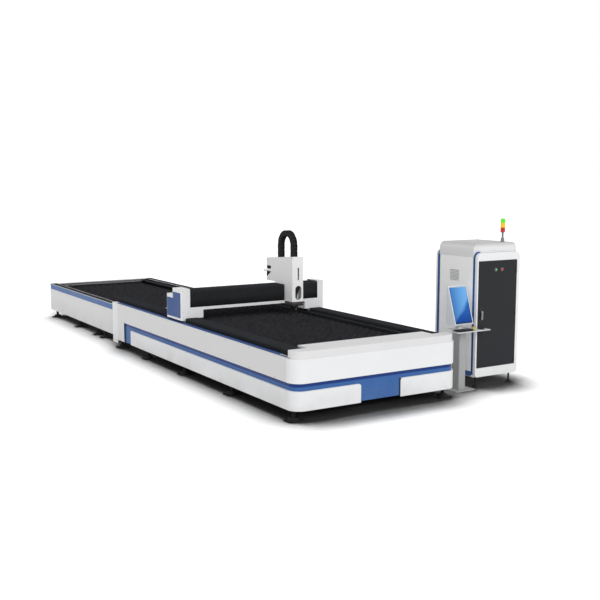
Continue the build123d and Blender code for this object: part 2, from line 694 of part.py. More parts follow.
# Scrap trays: two low pans on the cross tubes under the pallets
tray_wall = 3
tray_height = 50
tray_half = FRAME_INNER - 45
tray_seat_z = FRAME_BOTTOM_Z + CROSS_TUBE_HEIGHT
tray_spans = [(-2400, -360), (-340, 1700)]
with BuildPart() as scrap_trays:
    for start_y, end_y in tray_spans:
        with Locations((0, (start_y + end_y) / 2, tray_seat_z)):
            Box(2 * tray_half, end_y - start_y, tray_height, align=(Align.CENTER, Align.CENTER, Align.MIN))
            with Locations((0, 0, tray_wall)):
                Box(
                    2 * (tray_half - tray_wall),
                    end_y - start_y - 2 * tray_wall,
                    tray_height,
                    align=(Align.CENTER, Align.CENTER, Align.MIN),
                    mode=Mode.SUBTRACT,
                )
scrap_trays.part.label = "scrap_trays"
export_step(scrap_trays.part, "parts/scrap_trays.step")


def table_plan(inset=0):
    """Plan of the exchange table, open where it meets the bed."""
    depth = TABLE_LENGTH - inset
    with BuildSketch() as plan:
        with Locations((0, TABLE_FRONT_Y + depth / 2)):
            Rectangle(2 * (TABLE_HALF_WIDTH - inset), depth)
    return plan.sketch


def table_ring(outer, inner):
    """Ring of the table plan between two insets, as two side sheets and a rear sheet."""
    with BuildSketch() as ring:
        add(table_plan(outer))
        add(table_plan(inner), mode=Mode.SUBTRACT)
        with Locations((-table_inner_x, TABLE_REAR_Y), (table_inner_x, TABLE_REAR_Y)):
            Rectangle(SEAT_GAP, TABLE_LENGTH, mode=Mode.SUBTRACT)
    return ring.sketch


# Exchange table frame: a box beam on each side, low cross tubes and a tall rear beam
table_beam_top_z = TABLE_TOP_Z - SHEET
table_inner_x = FRAME_INNER
table_frame_length = TABLE_LENGTH - TABLE_PANEL_DEPTH
with BuildPart() as exchange_side_beams:
    with BuildSketch(face_y(TABLE_FRONT_Y)):
        with Locations(
            (TABLE_FRAME_HALF - TABLE_BEAM_WIDTH / 2, (TABLE_BEAM_BOTTOM_Z + table_beam_top_z) / 2),
            (-TABLE_FRAME_HALF + TABLE_BEAM_WIDTH / 2, (TABLE_BEAM_BOTTOM_Z + table_beam_top_z) / 2),
        ):
            Rectangle(TABLE_BEAM_WIDTH, table_beam_top_z - TABLE_BEAM_BOTTOM_Z)
            Rectangle(
                TABLE_BEAM_WIDTH - 2 * BEAM_WALL,
                table_beam_top_z - TABLE_BEAM_BOTTOM_Z - 2 * BEAM_WALL,
                mode=Mode.SUBTRACT,
            )
    extrude(amount=-table_frame_length)
exchange_side_beams.part.label = "exchange_side_beams"
export_step(exchange_side_beams.part, "parts/exchange_side_beams.step")

table_tube = 80
table_tube_ys = [TABLE_FRONT_Y + share * table_frame_length for share in (0.04, 0.34, 0.66)]
table_rear_beam_height = 385
with BuildPart() as exchange_cross_beams:
    with BuildSketch(face_x(-table_inner_x)):
        with Locations(*[(y, TABLE_BEAM_BOTTOM_Z + table_tube / 2) for y in table_tube_ys]):
            Rectangle(table_tube, table_tube)
            Rectangle(table_tube - 2 * BEAM_WALL, table_tube - 2 * BEAM_WALL, mode=Mode.SUBTRACT)
        with Locations(
            (
                TABLE_FRONT_Y + table_frame_length - TABLE_BEAM_WIDTH / 4,
                TABLE_BEAM_BOTTOM_Z + table_rear_beam_height / 2,
            )
        ):
            Rectangle(TABLE_BEAM_WIDTH / 2, table_rear_beam_height)
            Rectangle(
                TABLE_BEAM_WIDTH / 2 - 2 * BEAM_WALL,
                table_rear_beam_height - 2 * BEAM_WALL,
                mode=Mode.SUBTRACT,
            )
    extrude(amount=2 * table_inner_x)
exchange_cross_beams.part.label = "exchange_cross_beams"
export_step(exchange_cross_beams.part, "parts/exchange_cross_beams.step")

# Exchange table sheet metal: lower panels, a blue stripe set back, and a lipped top flange
stripe_top_z = TABLE_TOP_Z - TABLE_LIP
stripe_bottom_z = stripe_top_z - STRIPE_HEIGHT
with BuildPart() as exchange_panels:
    with BuildSketch(face_z(FLOOR_GAP)):
        add(table_ring(0, SHEET))
    extrude(amount=stripe_bottom_z - FLOOR_GAP)
    with BuildSketch(face_z(stripe_bottom_z)):
        add(table_ring(0, TABLE_PANEL_DEPTH))
    extrude(amount=-SHEET)
    with BuildSketch(face_z(stripe_top_z)):
        add(table_ring(0, SHEET))
    extrude(amount=TABLE_LIP)
    with BuildSketch(face_z(stripe_top_z)):
        add(table_ring(0, TABLE_PANEL_DEPTH))
    extrude(amount=SHEET)
    with BuildSketch(face_z(TABLE_TOP_Z)):
        add(table_ring(0, TABLE_PANEL_DEPTH + TABLE_BEAM_WIDTH))
    extrude(amount=-SHEET)
exchange_panels.part.label = "exchange_panels"
export_step(exchange_panels.part, "parts/exchange_panels.step")

with BuildPart() as exchange_stripes:
    with BuildSketch(face_z(stripe_bottom_z)):
        add(table_ring(STRIPE_RECESS, STRIPE_RECESS + SHEET))
    extrude(amount=STRIPE_HEIGHT)
exchange_stripes.part.label = "exchange_stripes"
export_step(exchange_stripes.part, "parts/exchange_stripes.step")

# Exchange drive: a gearmotor on the right beam turns a cross shaft with two sprockets
drive_shaft_y = TABLE_REAR_Y - 150
gearbox_left_x = table_inner_x - 120
shaft_radius = 20
with BuildPart() as exchange_motor:
    with Locations(((gearbox_left_x + table_inner_x) / 2, drive_shaft_y, DRIVE_SHAFT_Z)):
        Box(table_inner_x - gearbox_left_x, 110, 110)
        fillet(edges().filter_by(Axis.X), 12)
    with BuildSketch(face_y(drive_shaft_y - 55)):
        with Locations(((gearbox_left_x + table_inner_x) / 2, DRIVE_SHAFT_Z)):
            Circle(45)
    extrude(amount=200)
exchange_motor.part.label = "exchange_motor"
export_step(exchange_motor.part, "parts/exchange_motor.step")

sprocket_teeth = 12
sprocket_width = 12
sprocket_x = PALLET_HALF_WIDTH - 120
sprocket_points = [
    (
        drive_shaft_y + (SPROCKET_RADIUS - 9 * (index % 2)) * cos(pi * index / sprocket_teeth),
        DRIVE_SHAFT_Z + (SPROCKET_RADIUS - 9 * (index % 2)) * sin(pi * index / sprocket_teeth),
    )
    for index in range(2 * sprocket_teeth)
]
with BuildPart() as exchange_shaft:
    with BuildSketch(face_x(SEAT_GAP - table_inner_x)):
        with Locations((drive_shaft_y, DRIVE_SHAFT_Z)):
            Circle(shaft_radius)
    extrude(amount=table_inner_x + gearbox_left_x - 2 * SEAT_GAP)
    with BuildSketch(face_x(-sprocket_x), face_x(sprocket_x - sprocket_width)):
        Polygon(*sprocket_points, align=None)
    extrude(amount=sprocket_width)
exchange_shaft.part.label = "exchange_shaft"
export_step(exchange_shaft.part, "parts/exchange_shaft.step")

# Gantry beam: a box tube on two legs, with two cross rails on its front and a rack on its top
beam_half = GANTRY_HALF_WIDTH - 50
leg_x = 995
leg_width = 160
cross_rail_half = 960
cross_rail_zs = [CROSS_RAIL_LOW_Z, CROSS_RAIL_LOW_Z + CROSS_RAIL_PITCH]
cross_rack = 20
with BuildPart() as beam_tube:
    with BuildSketch(face_x(-beam_half)):
        with Locations((BEAM_FRONT_Y + BEAM_DEPTH / 2, BEAM_BOTTOM_Z + BEAM_HEIGHT / 2)):
            Rectangle(BEAM_DEPTH, BEAM_HEIGHT)
            Rectangle(BEAM_DEPTH - 2 * BEAM_WALL, BEAM_HEIGHT - 2 * BEAM_WALL, mode=Mode.SUBTRACT)
    extrude(amount=2 * beam_half)
    with BuildSketch(face_x(-cross_rail_half)):
        with Locations(*[(BEAM_FRONT_Y - CROSS_RAIL_SIZE / 2, z) for z in cross_rail_zs]):
            Rectangle(CROSS_RAIL_SIZE, CROSS_RAIL_SIZE)
        with Locations((BEAM_FRONT_Y + cross_rack / 2, BEAM_TOP_Z + cross_rack / 2)):
            Rectangle(cross_rack, cross_rack)
    extrude(amount=2 * cross_rail_half)
with BuildPart() as beam_legs:
    with BuildSketch(face_z(CARRIAGE_TOP_Z)):
        with Locations(
            (leg_x, BEAM_FRONT_Y + BEAM_DEPTH / 2),
            (-leg_x, BEAM_FRONT_Y + BEAM_DEPTH / 2),
        ):
            Rectangle(leg_width, BEAM_DEPTH)
            Rectangle(leg_width - 2 * BEAM_WALL, BEAM_DEPTH - 2 * BEAM_WALL, mode=Mode.SUBTRACT)
    extrude(amount=BEAM_BOTTOM_Z - CARRIAGE_TOP_Z)
gantry_beam = Compound(label="gantry_beam", children=[beam_tube.part, *beam_legs.part.solids()])
export_step(gantry_beam, "parts/gantry_beam.step")

# End carriages: a plate and two bearing blocks astride the rail on each side
block_ys = [GANTRY_FRONT_Y + 90, GANTRY_REAR_Y - 90]
plate_inner_x = 905
plate_outer_x = 1085
pinion_x = RACK_X - RACK_SIZE / 2 - PINION_RADIUS - SEAT_GAP
pinion_hub_radius = 12
plate_length = GANTRY_DEPTH - 2 * SHEET
with BuildPart() as y_carriages:
    with BuildSketch(face_z(GANTRY_FOOT_Z)):
        with Locations(((plate_inner_x + plate_outer_x) / 2, GANTRY_FRONT_Y + GANTRY_DEPTH / 2)):
            Rectangle(plate_outer_x - plate_inner_x, plate_length)
        with Locations((pinion_x, DRIVE_Y)):
            Circle(pinion_hub_radius + 3, mode=Mode.SUBTRACT)
    extrude(amount=CARRIAGE_THICKNESS)
    with BuildSketch(*[face_y(y - BLOCK_LENGTH / 2) for y in block_ys]):
        with Locations((RAIL_X, (FRAME_TOP_Z + 12 + GANTRY_FOOT_Z) / 2)):
            Rectangle(BLOCK_WIDTH, GANTRY_FOOT_Z - FRAME_TOP_Z - 12)
        with Locations((RAIL_X, FRAME_TOP_Z + RAIL_HEIGHT / 2 + RUN_GAP / 2)):
            Rectangle(RAIL_WIDTH + 2 * RUN_GAP, RAIL_HEIGHT + RUN_GAP, mode=Mode.SUBTRACT)
    extrude(amount=-BLOCK_LENGTH)
    mirror(about=Plane.YZ)
y_carriages.part.label = "y_carriages"
export_step(y_carriages.part, "parts/y_carriages.step")

# Long-axis drives: a flat right-angle gearbox and a motor on each end carriage
gearbox_height = 70
with BuildPart() as y_motors:
    with Locations((pinion_x, DRIVE_Y, CARRIAGE_TOP_Z + gearbox_height / 2)):
        Box(MOTOR_SIZE, MOTOR_SIZE, gearbox_height)
        fillet(edges().filter_by(Axis.Z), 8)
    with BuildSketch(face_y(DRIVE_Y - MOTOR_SIZE / 2)):
        with Locations((pinion_x, CARRIAGE_TOP_Z + gearbox_height / 2)):
            RectangleRounded(gearbox_height - 8, gearbox_height - 8, 8)
    extrude(amount=MOTOR_SIZE)
    mirror(about=Plane.YZ)
y_motors.part.label = "y_motors"
export_step(y_motors.part, "parts/y_motors.step")


def gear_points(x, y, radius, depth, teeth):
    """Outline of a gear with flat-topped teeth, seen along its axis."""
    points = []
    for tooth in range(teeth):
        for share, reach in ((-0.3, radius - depth), (-0.14, radius), (0.14, radius), (0.3, radius - depth)):
            angle = 2 * pi * (tooth + share) / teeth
            points.append((x + reach * cos(angle), y + reach * sin(angle)))
    return points


# Pinions of the long axis, hanging under the end carriages beside the racks
rack_face = 2
for side, name in ((-1, "y_pinion_left"), (1, "y_pinion_right")):
    with BuildPart() as pinion:
        with BuildSketch(face_z(FRAME_TOP_Z + rack_face)):
            Polygon(*gear_points(side * pinion_x, DRIVE_Y, PINION_RADIUS, 6, PINION_TEETH), align=None)
        extrude(amount=RACK_SIZE - 2 * rack_face)
        with BuildSketch(face_z(FRAME_TOP_Z + rack_face)):
            with Locations((side * pinion_x, DRIVE_Y)):
                Circle(pinion_hub_radius)
        extrude(amount=CARRIAGE_TOP_Z - FRAME_TOP_Z - rack_face - SEAT_GAP)
    pinion.part.label = name
    export_step(pinion.part, f"parts/{name}.step")


def end_profile(width, top_z):
    """Front view of an end cover: the tall end, the skirt outside and the foot inside."""
    return [
        (GANTRY_HALF_WIDTH, GANTRY_SKIRT_Z),
        (GANTRY_HALF_WIDTH, top_z),
        (GANTRY_HALF_WIDTH - width, top_z),
        (GANTRY_HALF_WIDTH - width, FOOT_TOP_Z),
        (FOOT_INNER_X, FOOT_TOP_Z),
        (FOOT_INNER_X, GANTRY_FOOT_Z),
        (GANTRY_HALF_WIDTH - SKIRT_WIDTH, GANTRY_FOOT_Z),
        (GANTRY_HALF_WIDTH - SKIRT_WIDTH, GANTRY_SKIRT_Z),
    ]


def end_hollow(width, top_z):
    """Inside of an end cover, open towards the beam and underneath."""
    return [
        (GANTRY_HALF_WIDTH - SHEET, GANTRY_SKIRT_Z - 1),
        (GANTRY_HALF_WIDTH - SHEET, top_z - SHEET),
        (GANTRY_HALF_WIDTH - width - 1, top_z - SHEET),
        (GANTRY_HALF_WIDTH - width - 1, FOOT_TOP_Z + 1),
        (GANTRY_HALF_WIDTH - width, FOOT_TOP_Z + 1),
        (GANTRY_HALF_WIDTH - width, FOOT_TOP_Z - SHEET),
        (FOOT_INNER_X + SHEET, FOOT_TOP_Z - SHEET),
        (FOOT_INNER_X + SHEET, GANTRY_SKIRT_Z - 1),
    ]


# Gantry end covers: hollow white housings with a tall front, a low rear and a small box on it
rear_box_width = 75
rear_box_height = 46
end_covers = []
for side, width in ((-1, END_COVER_WIDTH), (1, RIGHT_COVER_WIDTH)):
    with BuildPart() as end_cover:
        with BuildSketch(face_y(GANTRY_FRONT_Y)):
            Polygon(*end_profile(width, GANTRY_TOP_Z), align=None)
        extrude(amount=-GANTRY_TALL_DEPTH)
        with BuildSketch(face_y(GANTRY_STEP_Y)):
            Polygon(*end_profile(width, GANTRY_REAR_TOP_Z), align=None)
        extrude(amount=-(GANTRY_DEPTH - GANTRY_TALL_DEPTH))
        outer_edges = end_cover.edges().filter_by(Axis.Z).group_by(Axis.X)[-1]
        fillet(outer_edges.sort_by(Axis.Y)[0], 12)
        with BuildSketch(face_y(GANTRY_FRONT_Y + SHEET)):
            Polygon(*end_hollow(width, GANTRY_TOP_Z), align=None)
        extrude(amount=-(GANTRY_TALL_DEPTH - 2 * SHEET), mode=Mode.SUBTRACT)
        with BuildSketch(face_y(GANTRY_FRONT_Y + SHEET)):
            Polygon(*end_hollow(width, GANTRY_REAR_TOP_Z), align=None)
        extrude(amount=-(GANTRY_DEPTH - 2 * SHEET), mode=Mode.SUBTRACT)
        with BuildSketch(face_z(FOOT_TOP_Z - SHEET)):
            with Locations((leg_x, BEAM_FRONT_Y + BEAM_DEPTH / 2)):
                Rectangle(leg_width + 8, BEAM_DEPTH + 8)
        extrude(amount=SHEET, mode=Mode.SUBTRACT)
        with BuildSketch(face_z(GANTRY_REAR_TOP_Z)):
            with Locations(
                (GANTRY_HALF_WIDTH - rear_box_width / 2, (GANTRY_STEP_Y + GANTRY_REAR_Y) / 2)
            ):
                Rectangle(rear_box_width, GANTRY_REAR_Y - GANTRY_STEP_Y - 12)
        extrude(amount=rear_box_height)
    if side > 0:
        end_covers.append(end_cover.part)
    else:
        end_covers.append(end_cover.part.mirror(Plane.YZ))

# Strip under the beam: a front wall that joins the end covers, and a floor under the tube
strip_left_x = END_COVER_WIDTH - GANTRY_HALF_WIDTH
strip_right_x = GANTRY_HALF_WIDTH - RIGHT_COVER_WIDTH
strip_floor_half = leg_x - leg_width / 2 - 10
with BuildPart() as beam_strip:
    with BuildSketch(face_y(GANTRY_FRONT_Y)):
        with Locations(((strip_left_x + strip_right_x) / 2, (FOOT_TOP_Z + STRIP_TOP_Z) / 2)):
            Rectangle(strip_right_x - strip_left_x, STRIP_HEIGHT)
        for side in (-1, 1):
            with Locations((side * (FOOT_INNER_X - FOOT_RADIUS / 2), FOOT_TOP_Z - FOOT_RADIUS / 2)):
                Rectangle(FOOT_RADIUS, FOOT_RADIUS)
            with Locations((side * (FOOT_INNER_X - FOOT_RADIUS), FOOT_TOP_Z - FOOT_RADIUS)):
                Circle(FOOT_RADIUS, mode=Mode.SUBTRACT)
    extrude(amount=-SHEET)
    with BuildSketch(face_z(FOOT_TOP_Z)):
        with Locations((0, (GANTRY_FRONT_Y + BEAM_REAR_Y) / 2)):
            Rectangle(2 * strip_floor_half, BEAM_REAR_Y - GANTRY_FRONT_Y)
    extrude(amount=SHEET)
gantry_covers = Compound(label="gantry_covers", children=[*end_covers, beam_strip.part])
export_step(gantry_covers, "parts/gantry_covers.step")

# Blue side plates on the ends of the gantry
with BuildPart() as gantry_side_plates:
    with BuildSketch(face_x(GANTRY_HALF_WIDTH)):
        Polygon(
            (GANTRY_FRONT_Y + SIDE_PLATE_BORDER, GANTRY_SKIRT_Z + SHEET + 26),
            (GANTRY_FRONT_Y + SIDE_PLATE_BORDER, GANTRY_TOP_Z - SIDE_PLATE_DROP),
            (GANTRY_STEP_Y - 14, GANTRY_TOP_Z - SIDE_PLATE_DROP),
            (GANTRY_STEP_Y - 14, GANTRY_REAR_TOP_Z - 2),
            (GANTRY_REAR_Y - 10, GANTRY_REAR_TOP_Z - 2),
            (GANTRY_REAR_Y - 10, GANTRY_SKIRT_Z + SHEET + 26),
            align=None,
        )
        fillet(vertices(), 8)
    extrude(amount=SIDE_PLATE_THICKNESS)
    mirror(about=Plane.YZ)
gantry_side_plates.part.label = "gantry_side_plates"
export_step(gantry_side_plates.part, "parts/gantry_side_plates.step")

# Folding covers over the beam, from each end cover to the cross carriage. The front and the top
# are pleated, the front upper edge is rounded and a tunnel inside clears the beam.
carriage_half = COVER_WIDTH / 2 - SHEET
flange_left_x = COVER_X - carriage_half
flange_right_x = COVER_X + carriage_half
beam_bellows_bottom_z = STRIP_TOP_Z + 2
beam_bellows_wall = 9
beam_bellows_rear_y = BEAM_REAR_Y + beam_bellows_wall + BEAM_PLEAT / 2
beam_tunnel_top_z = BEAM_BELLOWS_TOP_Z - BEAM_PLEAT - beam_bellows_wall
beam_tunnel_front_y = BEAM_BELLOWS_FRONT_Y + BEAM_PLEAT + beam_bellows_wall
for name, start_x, end_x in (
    ("x_bellows_left", strip_left_x + SEAT_GAP, flange_left_x - SEAT_GAP),
    ("x_bellows_right", flange_right_x + SEAT_GAP, strip_right_x - SEAT_GAP),
):
    top_line = folds(start_x, end_x, BEAM_PLEATS, BEAM_BELLOWS_TOP_Z, BEAM_BELLOWS_TOP_Z - BEAM_PLEAT)
    front_line = folds(start_x, end_x, BEAM_PLEATS, BEAM_BELLOWS_FRONT_Y, BEAM_BELLOWS_FRONT_Y + BEAM_PLEAT)
    with BuildPart() as bellows:
        with BuildSketch(face_y(BEAM_BELLOWS_FRONT_Y)):
            Polygon(*top_line, (end_x, beam_bellows_bottom_z), (start_x, beam_bellows_bottom_z), align=None)
        extrude(amount=BEAM_BELLOWS_FRONT_Y - beam_bellows_rear_y)
        with BuildSketch(face_z(beam_bellows_bottom_z)):
            Polygon(*front_line, (end_x, beam_bellows_rear_y), (start_x, beam_bellows_rear_y), align=None)
        extrude(amount=BEAM_BELLOWS_TOP_Z - beam_bellows_bottom_z, mode=Mode.INTERSECT)
        with BuildSketch(face_x(start_x)):
            Polygon(
                (BEAM_BELLOWS_FRONT_Y, beam_bellows_bottom_z),
                (BEAM_BELLOWS_FRONT_Y, BEAM_BELLOWS_TOP_Z - 28),
                (BEAM_BELLOWS_FRONT_Y + 8, BEAM_BELLOWS_TOP_Z - 8),
                (BEAM_BELLOWS_FRONT_Y + 28, BEAM_BELLOWS_TOP_Z),
                (beam_bellows_rear_y, BEAM_BELLOWS_TOP_Z),
                (beam_bellows_rear_y, beam_bellows_bottom_z),
                align=None,
            )
        extrude(amount=end_x - start_x, mode=Mode.INTERSECT)
        with BuildSketch(face_x(start_x)):
            with Locations(((beam_tunnel_front_y + BEAM_REAR_Y + 4) / 2, beam_bellows_bottom_z)):
                Rectangle(
                    BEAM_REAR_Y + 4 - beam_tunnel_front_y,
                    2 * (beam_tunnel_top_z - beam_bellows_bottom_z),
                )
        extrude(amount=end_x - start_x, mode=Mode.SUBTRACT)
    bellows.part.label = name
    export_step(bellows.part, f"parts/{name}.step")

# Cross carriage: a saddle on four bearing blocks, a bracket forward to the upright slide plate
# with its two rails, screw bearings, and a frame at each side that ends the folding covers
saddle_front_y = BEAM_FRONT_Y - CROSS_RAIL_SIZE - 12 - SADDLE_THICKNESS
saddle_back_y = saddle_front_y + SADDLE_THICKNESS
saddle_top_z = BEAM_TOP_Z - 7
z_plate_back_y = Z_PLATE_FRONT_Y + Z_PLATE_THICKNESS
z_plate_bottom_z = COVER_BOTTOM_Z + 13
z_plate_top_z = 1440
z_rail_size = 14
z_rail_offset = 50
screw_y = Z_PLATE_FRONT_Y - 13
screw_top_z = z_plate_top_z - 12
motor_plate_z = BEAM_BELLOWS_TOP_Z - 20
motor_plate_thickness = 12
cross_pinion_y = BEAM_FRONT_Y - PINION_RADIUS - SEAT_GAP
cross_hub_radius = 8
screw_motor = 56
bearing_depth = Z_PLATE_FRONT_Y - SLIDE_PLATE_BACK_Y - 1
cover_bracket_zs = [1250, 1400]
with BuildPart() as carriage_plate:
    with BuildSketch(face_y(saddle_front_y)):
        with Locations((COVER_X, (FOOT_TOP_Z + 25 + saddle_top_z) / 2)):
            Rectangle(2 * carriage_half, saddle_top_z - FOOT_TOP_Z - 25)
    extrude(amount=-SADDLE_THICKNESS)
    with BuildSketch(face_x(COVER_X - 80), face_x(COVER_X + 20)):
        for z in cross_rail_zs:
            with Locations(((saddle_back_y + BEAM_FRONT_Y - 2) / 2, z)):
                Rectangle(BEAM_FRONT_Y - 2 - saddle_back_y, 40)
            with Locations((BEAM_FRONT_Y - CROSS_RAIL_SIZE / 2, z)):
                Rectangle(CROSS_RAIL_SIZE + 2 * RUN_GAP, CROSS_RAIL_SIZE + 2 * RUN_GAP, mode=Mode.SUBTRACT)
    extrude(amount=60)
    with BuildSketch(face_x(flange_left_x), face_x(flange_right_x - SHEET)):
        Polygon(
            (saddle_front_y, beam_bellows_bottom_z),
            (saddle_front_y, BEAM_BELLOWS_TOP_Z - 24),
            (saddle_front_y + 22, BEAM_BELLOWS_TOP_Z - 2),
            (beam_bellows_rear_y, BEAM_BELLOWS_TOP_Z - 2),
            (beam_bellows_rear_y, beam_bellows_bottom_z),
            (BEAM_REAR_Y + 4, beam_bellows_bottom_z),
            (BEAM_REAR_Y + 4, beam_tunnel_top_z),
            (beam_tunnel_front_y, beam_tunnel_top_z),
            (beam_tunnel_front_y, beam_bellows_bottom_z),
            align=None,
        )
    extrude(amount=SHEET)
    with BuildSketch(face_x(COVER_X - 65)):
        Polygon(
            (saddle_front_y, z_plate_bottom_z),
            (saddle_front_y, saddle_top_z),
            (saddle_front_y - 12, saddle_top_z),
            (saddle_front_y - 12, motor_plate_z),
            (BEAM_FRONT_Y + 20, motor_plate_z),
            (BEAM_FRONT_Y + 20, motor_plate_z + motor_plate_thickness),
            (z_plate_back_y, motor_plate_z + motor_plate_thickness),
            (z_plate_back_y, z_plate_bottom_z),
            align=None,
        )
    extrude(amount=130)
    with BuildSketch(face_z(motor_plate_z)):
        with Locations((COVER_X, cross_pinion_y)):
            Circle(cross_hub_radius + 3)
    extrude(amount=motor_plate_thickness, mode=Mode.SUBTRACT)
    with BuildSketch(face_y(Z_PLATE_FRONT_Y)):
        with Locations((HEAD_X, (z_plate_bottom_z + z_plate_top_z) / 2)):
            Rectangle(140, z_plate_top_z - z_plate_bottom_z)
    extrude(amount=-Z_PLATE_THICKNESS)
    with BuildSketch(face_z(z_plate_bottom_z + 10)):
        with Locations(
            (HEAD_X - z_rail_offset, Z_PLATE_FRONT_Y - z_rail_size / 2),
            (HEAD_X + z_rail_offset, Z_PLATE_FRONT_Y - z_rail_size / 2),
        ):
            Rectangle(z_rail_size, z_rail_size)
    extrude(amount=screw_top_z - 20 - z_plate_bottom_z)
    with BuildSketch(face_z(z_plate_bottom_z), face_z(screw_top_z - 30)):
        with Locations((HEAD_X, Z_PLATE_FRONT_Y - bearing_depth / 2)):
            Rectangle(40, bearing_depth)
        with Locations((HEAD_X, screw_y)):
            Circle(SCREW_RADIUS + RUN_GAP, mode=Mode.SUBTRACT)
    extrude(amount=16)
    with BuildSketch(face_z(z_plate_top_z - 10)):
        with Locations((HEAD_X, (screw_y - screw_motor / 2 + z_plate_back_y) / 2)):
            Rectangle(screw_motor, z_plate_back_y - screw_y + screw_motor / 2)
    extrude(amount=10)
    with BuildSketch(face_y(Z_PLATE_FRONT_Y)):
        with Locations(*[(COVER_X, z) for z in cover_bracket_zs]):
            Rectangle(2 * carriage_half, 30)
    extrude(amount=-Z_PLATE_THICKNESS)
carriage_plate.part.label = "carriage_plate"
export_step(carriage_plate.part, "parts/carriage_plate.step")

# Motors of the cross axis and of the screw
with BuildPart() as carriage_motors:
    with BuildSketch(face_z(motor_plate_z + motor_plate_thickness)):
        with Locations((COVER_X, cross_pinion_y)):
            RectangleRounded(MOTOR_SIZE, MOTOR_SIZE, 8)
    extrude(amount=MOTOR_HEIGHT)
    with BuildSketch(face_z(z_plate_top_z)):
        with Locations((HEAD_X, screw_y)):
            RectangleRounded(screw_motor, screw_motor, 6)
    extrude(amount=105)
carriage_motors.part.label = "carriage_motors"
export_step(carriage_motors.part, "parts/carriage_motors.step")

with BuildPart() as x_pinion:
    with BuildSketch(face_z(BEAM_TOP_Z + 2)):
        Polygon(*gear_points(COVER_X, cross_pinion_y, PINION_RADIUS, 6, PINION_TEETH), align=None)
    extrude(amount=cross_rack - 4)
    with BuildSketch(face_z(BEAM_TOP_Z + 2)):
        with Locations((COVER_X, cross_pinion_y)):
            Circle(cross_hub_radius)
    extrude(amount=motor_plate_z + motor_plate_thickness - BEAM_TOP_Z - 2 - SEAT_GAP)
x_pinion.part.label = "x_pinion"
export_step(x_pinion.part, "parts/x_pinion.step")

with BuildPart() as z_screw:
    with BuildSketch(face_z(z_plate_bottom_z + 2)):
        with Locations((HEAD_X, screw_y)):
            Circle(SCREW_RADIUS)
    extrude(amount=z_plate_top_z - 10 - SEAT_GAP - z_plate_bottom_z - 2)
z_screw.part.label = "z_screw"
export_step(z_screw.part, "parts/z_screw.step")

# Cable chain: separate links on a loop that leaves the head, arches over and comes down into
# the rear of the head cover
chain_radius = (CHAIN_REAR_Y - CHAIN_FRONT_Y) / 2
chain_centre_y = (CHAIN_REAR_Y + CHAIN_FRONT_Y) / 2
chain_centre_z = CHAIN_TOP_Z - CHAIN_SIZE / 2 - chain_radius
chain_pitch = pi * chain_radius / CHAIN_ARC_LINKS
link_length = chain_pitch - CHAIN_LINK_GAP
link_slope = 6
chain_places = []
for index in range(CHAIN_FRONT_LINKS):
    chain_places.append((CHAIN_FRONT_Y, chain_centre_z - (index + 0.5) * chain_pitch, 0))
for index in range(CHAIN_REAR_LINKS):
    chain_places.append((CHAIN_REAR_Y, chain_centre_z - (index + 0.5) * chain_pitch, 0))
for index in range(CHAIN_ARC_LINKS):
    turn = pi * (index + 0.5) / CHAIN_ARC_LINKS
    arc_y = chain_centre_y + chain_radius * cos(turn)
    arc_z = chain_centre_z + chain_radius * sin(turn)
    chain_places.append((arc_y, arc_z, turn))


def link_outline(depth, length):
    """Side view of a link, which narrows towards its inside and its outside."""
    half_depth = depth / 2
    half_length = length / 2
    return [
        (half_depth, half_length - link_slope),
        (0, half_length),
        (-half_depth, half_length - link_slope),
        (-half_depth, link_slope - half_length),
        (0, -half_length),
        (half_depth, link_slope - half_length),
    ]


side_boss = 4
with BuildPart() as z_chain:
    for y, z, turn in chain_places:
        across = (0, cos(turn), sin(turn))
        with BuildSketch(Plane((CHAIN_X - CHAIN_SIZE / 2 + side_boss, y, z), x_dir=across, z_dir=(1, 0, 0))):
            Polygon(*link_outline(CHAIN_SIZE, link_length), align=None)
        extrude(amount=CHAIN_SIZE - 2 * side_boss)
        with BuildSketch(Plane((CHAIN_X - CHAIN_SIZE / 2, y, z), x_dir=across, z_dir=(1, 0, 0))):
            Polygon(*link_outline(CHAIN_SIZE - 16, link_length - 8), align=None)
        extrude(amount=CHAIN_SIZE)
z_chain.part.label = "z_chain"
export_step(z_chain.part, "parts/z_chain.step")

# Head cover: a hollow housing with a deep upper part over the beam and a narrow lower part in
# front of it. It is open underneath and at the carriage, with a window, a slot and chain holes.
top_slope = (COVER_FRONT_TOP_Z - COVER_REAR_TOP_Z) / (COVER_REAR_Y - COVER_FRONT_Y)
shelf_radius = 34


def cover_profile(inset):
    """Side view of the head cover, moved inwards by the inset."""
    front = COVER_FRONT_Y + inset
    rear = COVER_REAR_Y - inset
    back = COVER_BACK_Y - inset
    shelf = COVER_SHELF_Z + inset
    radius = shelf_radius + inset
    with BuildSketch() as profile:
        with BuildLine():
            Polyline(
                (back, shelf - radius),
                (back, COVER_BOTTOM_Z),
                (front, COVER_BOTTOM_Z),
                (front, COVER_FRONT_TOP_Z - inset * (1 + top_slope)),
                (rear, COVER_REAR_TOP_Z - inset * (1 - top_slope)),
                (rear, shelf),
                (back + radius, shelf),
            )
            CenterArc((back + radius, shelf - radius), radius, 90, 90)
        make_face()
    return profile.sketch


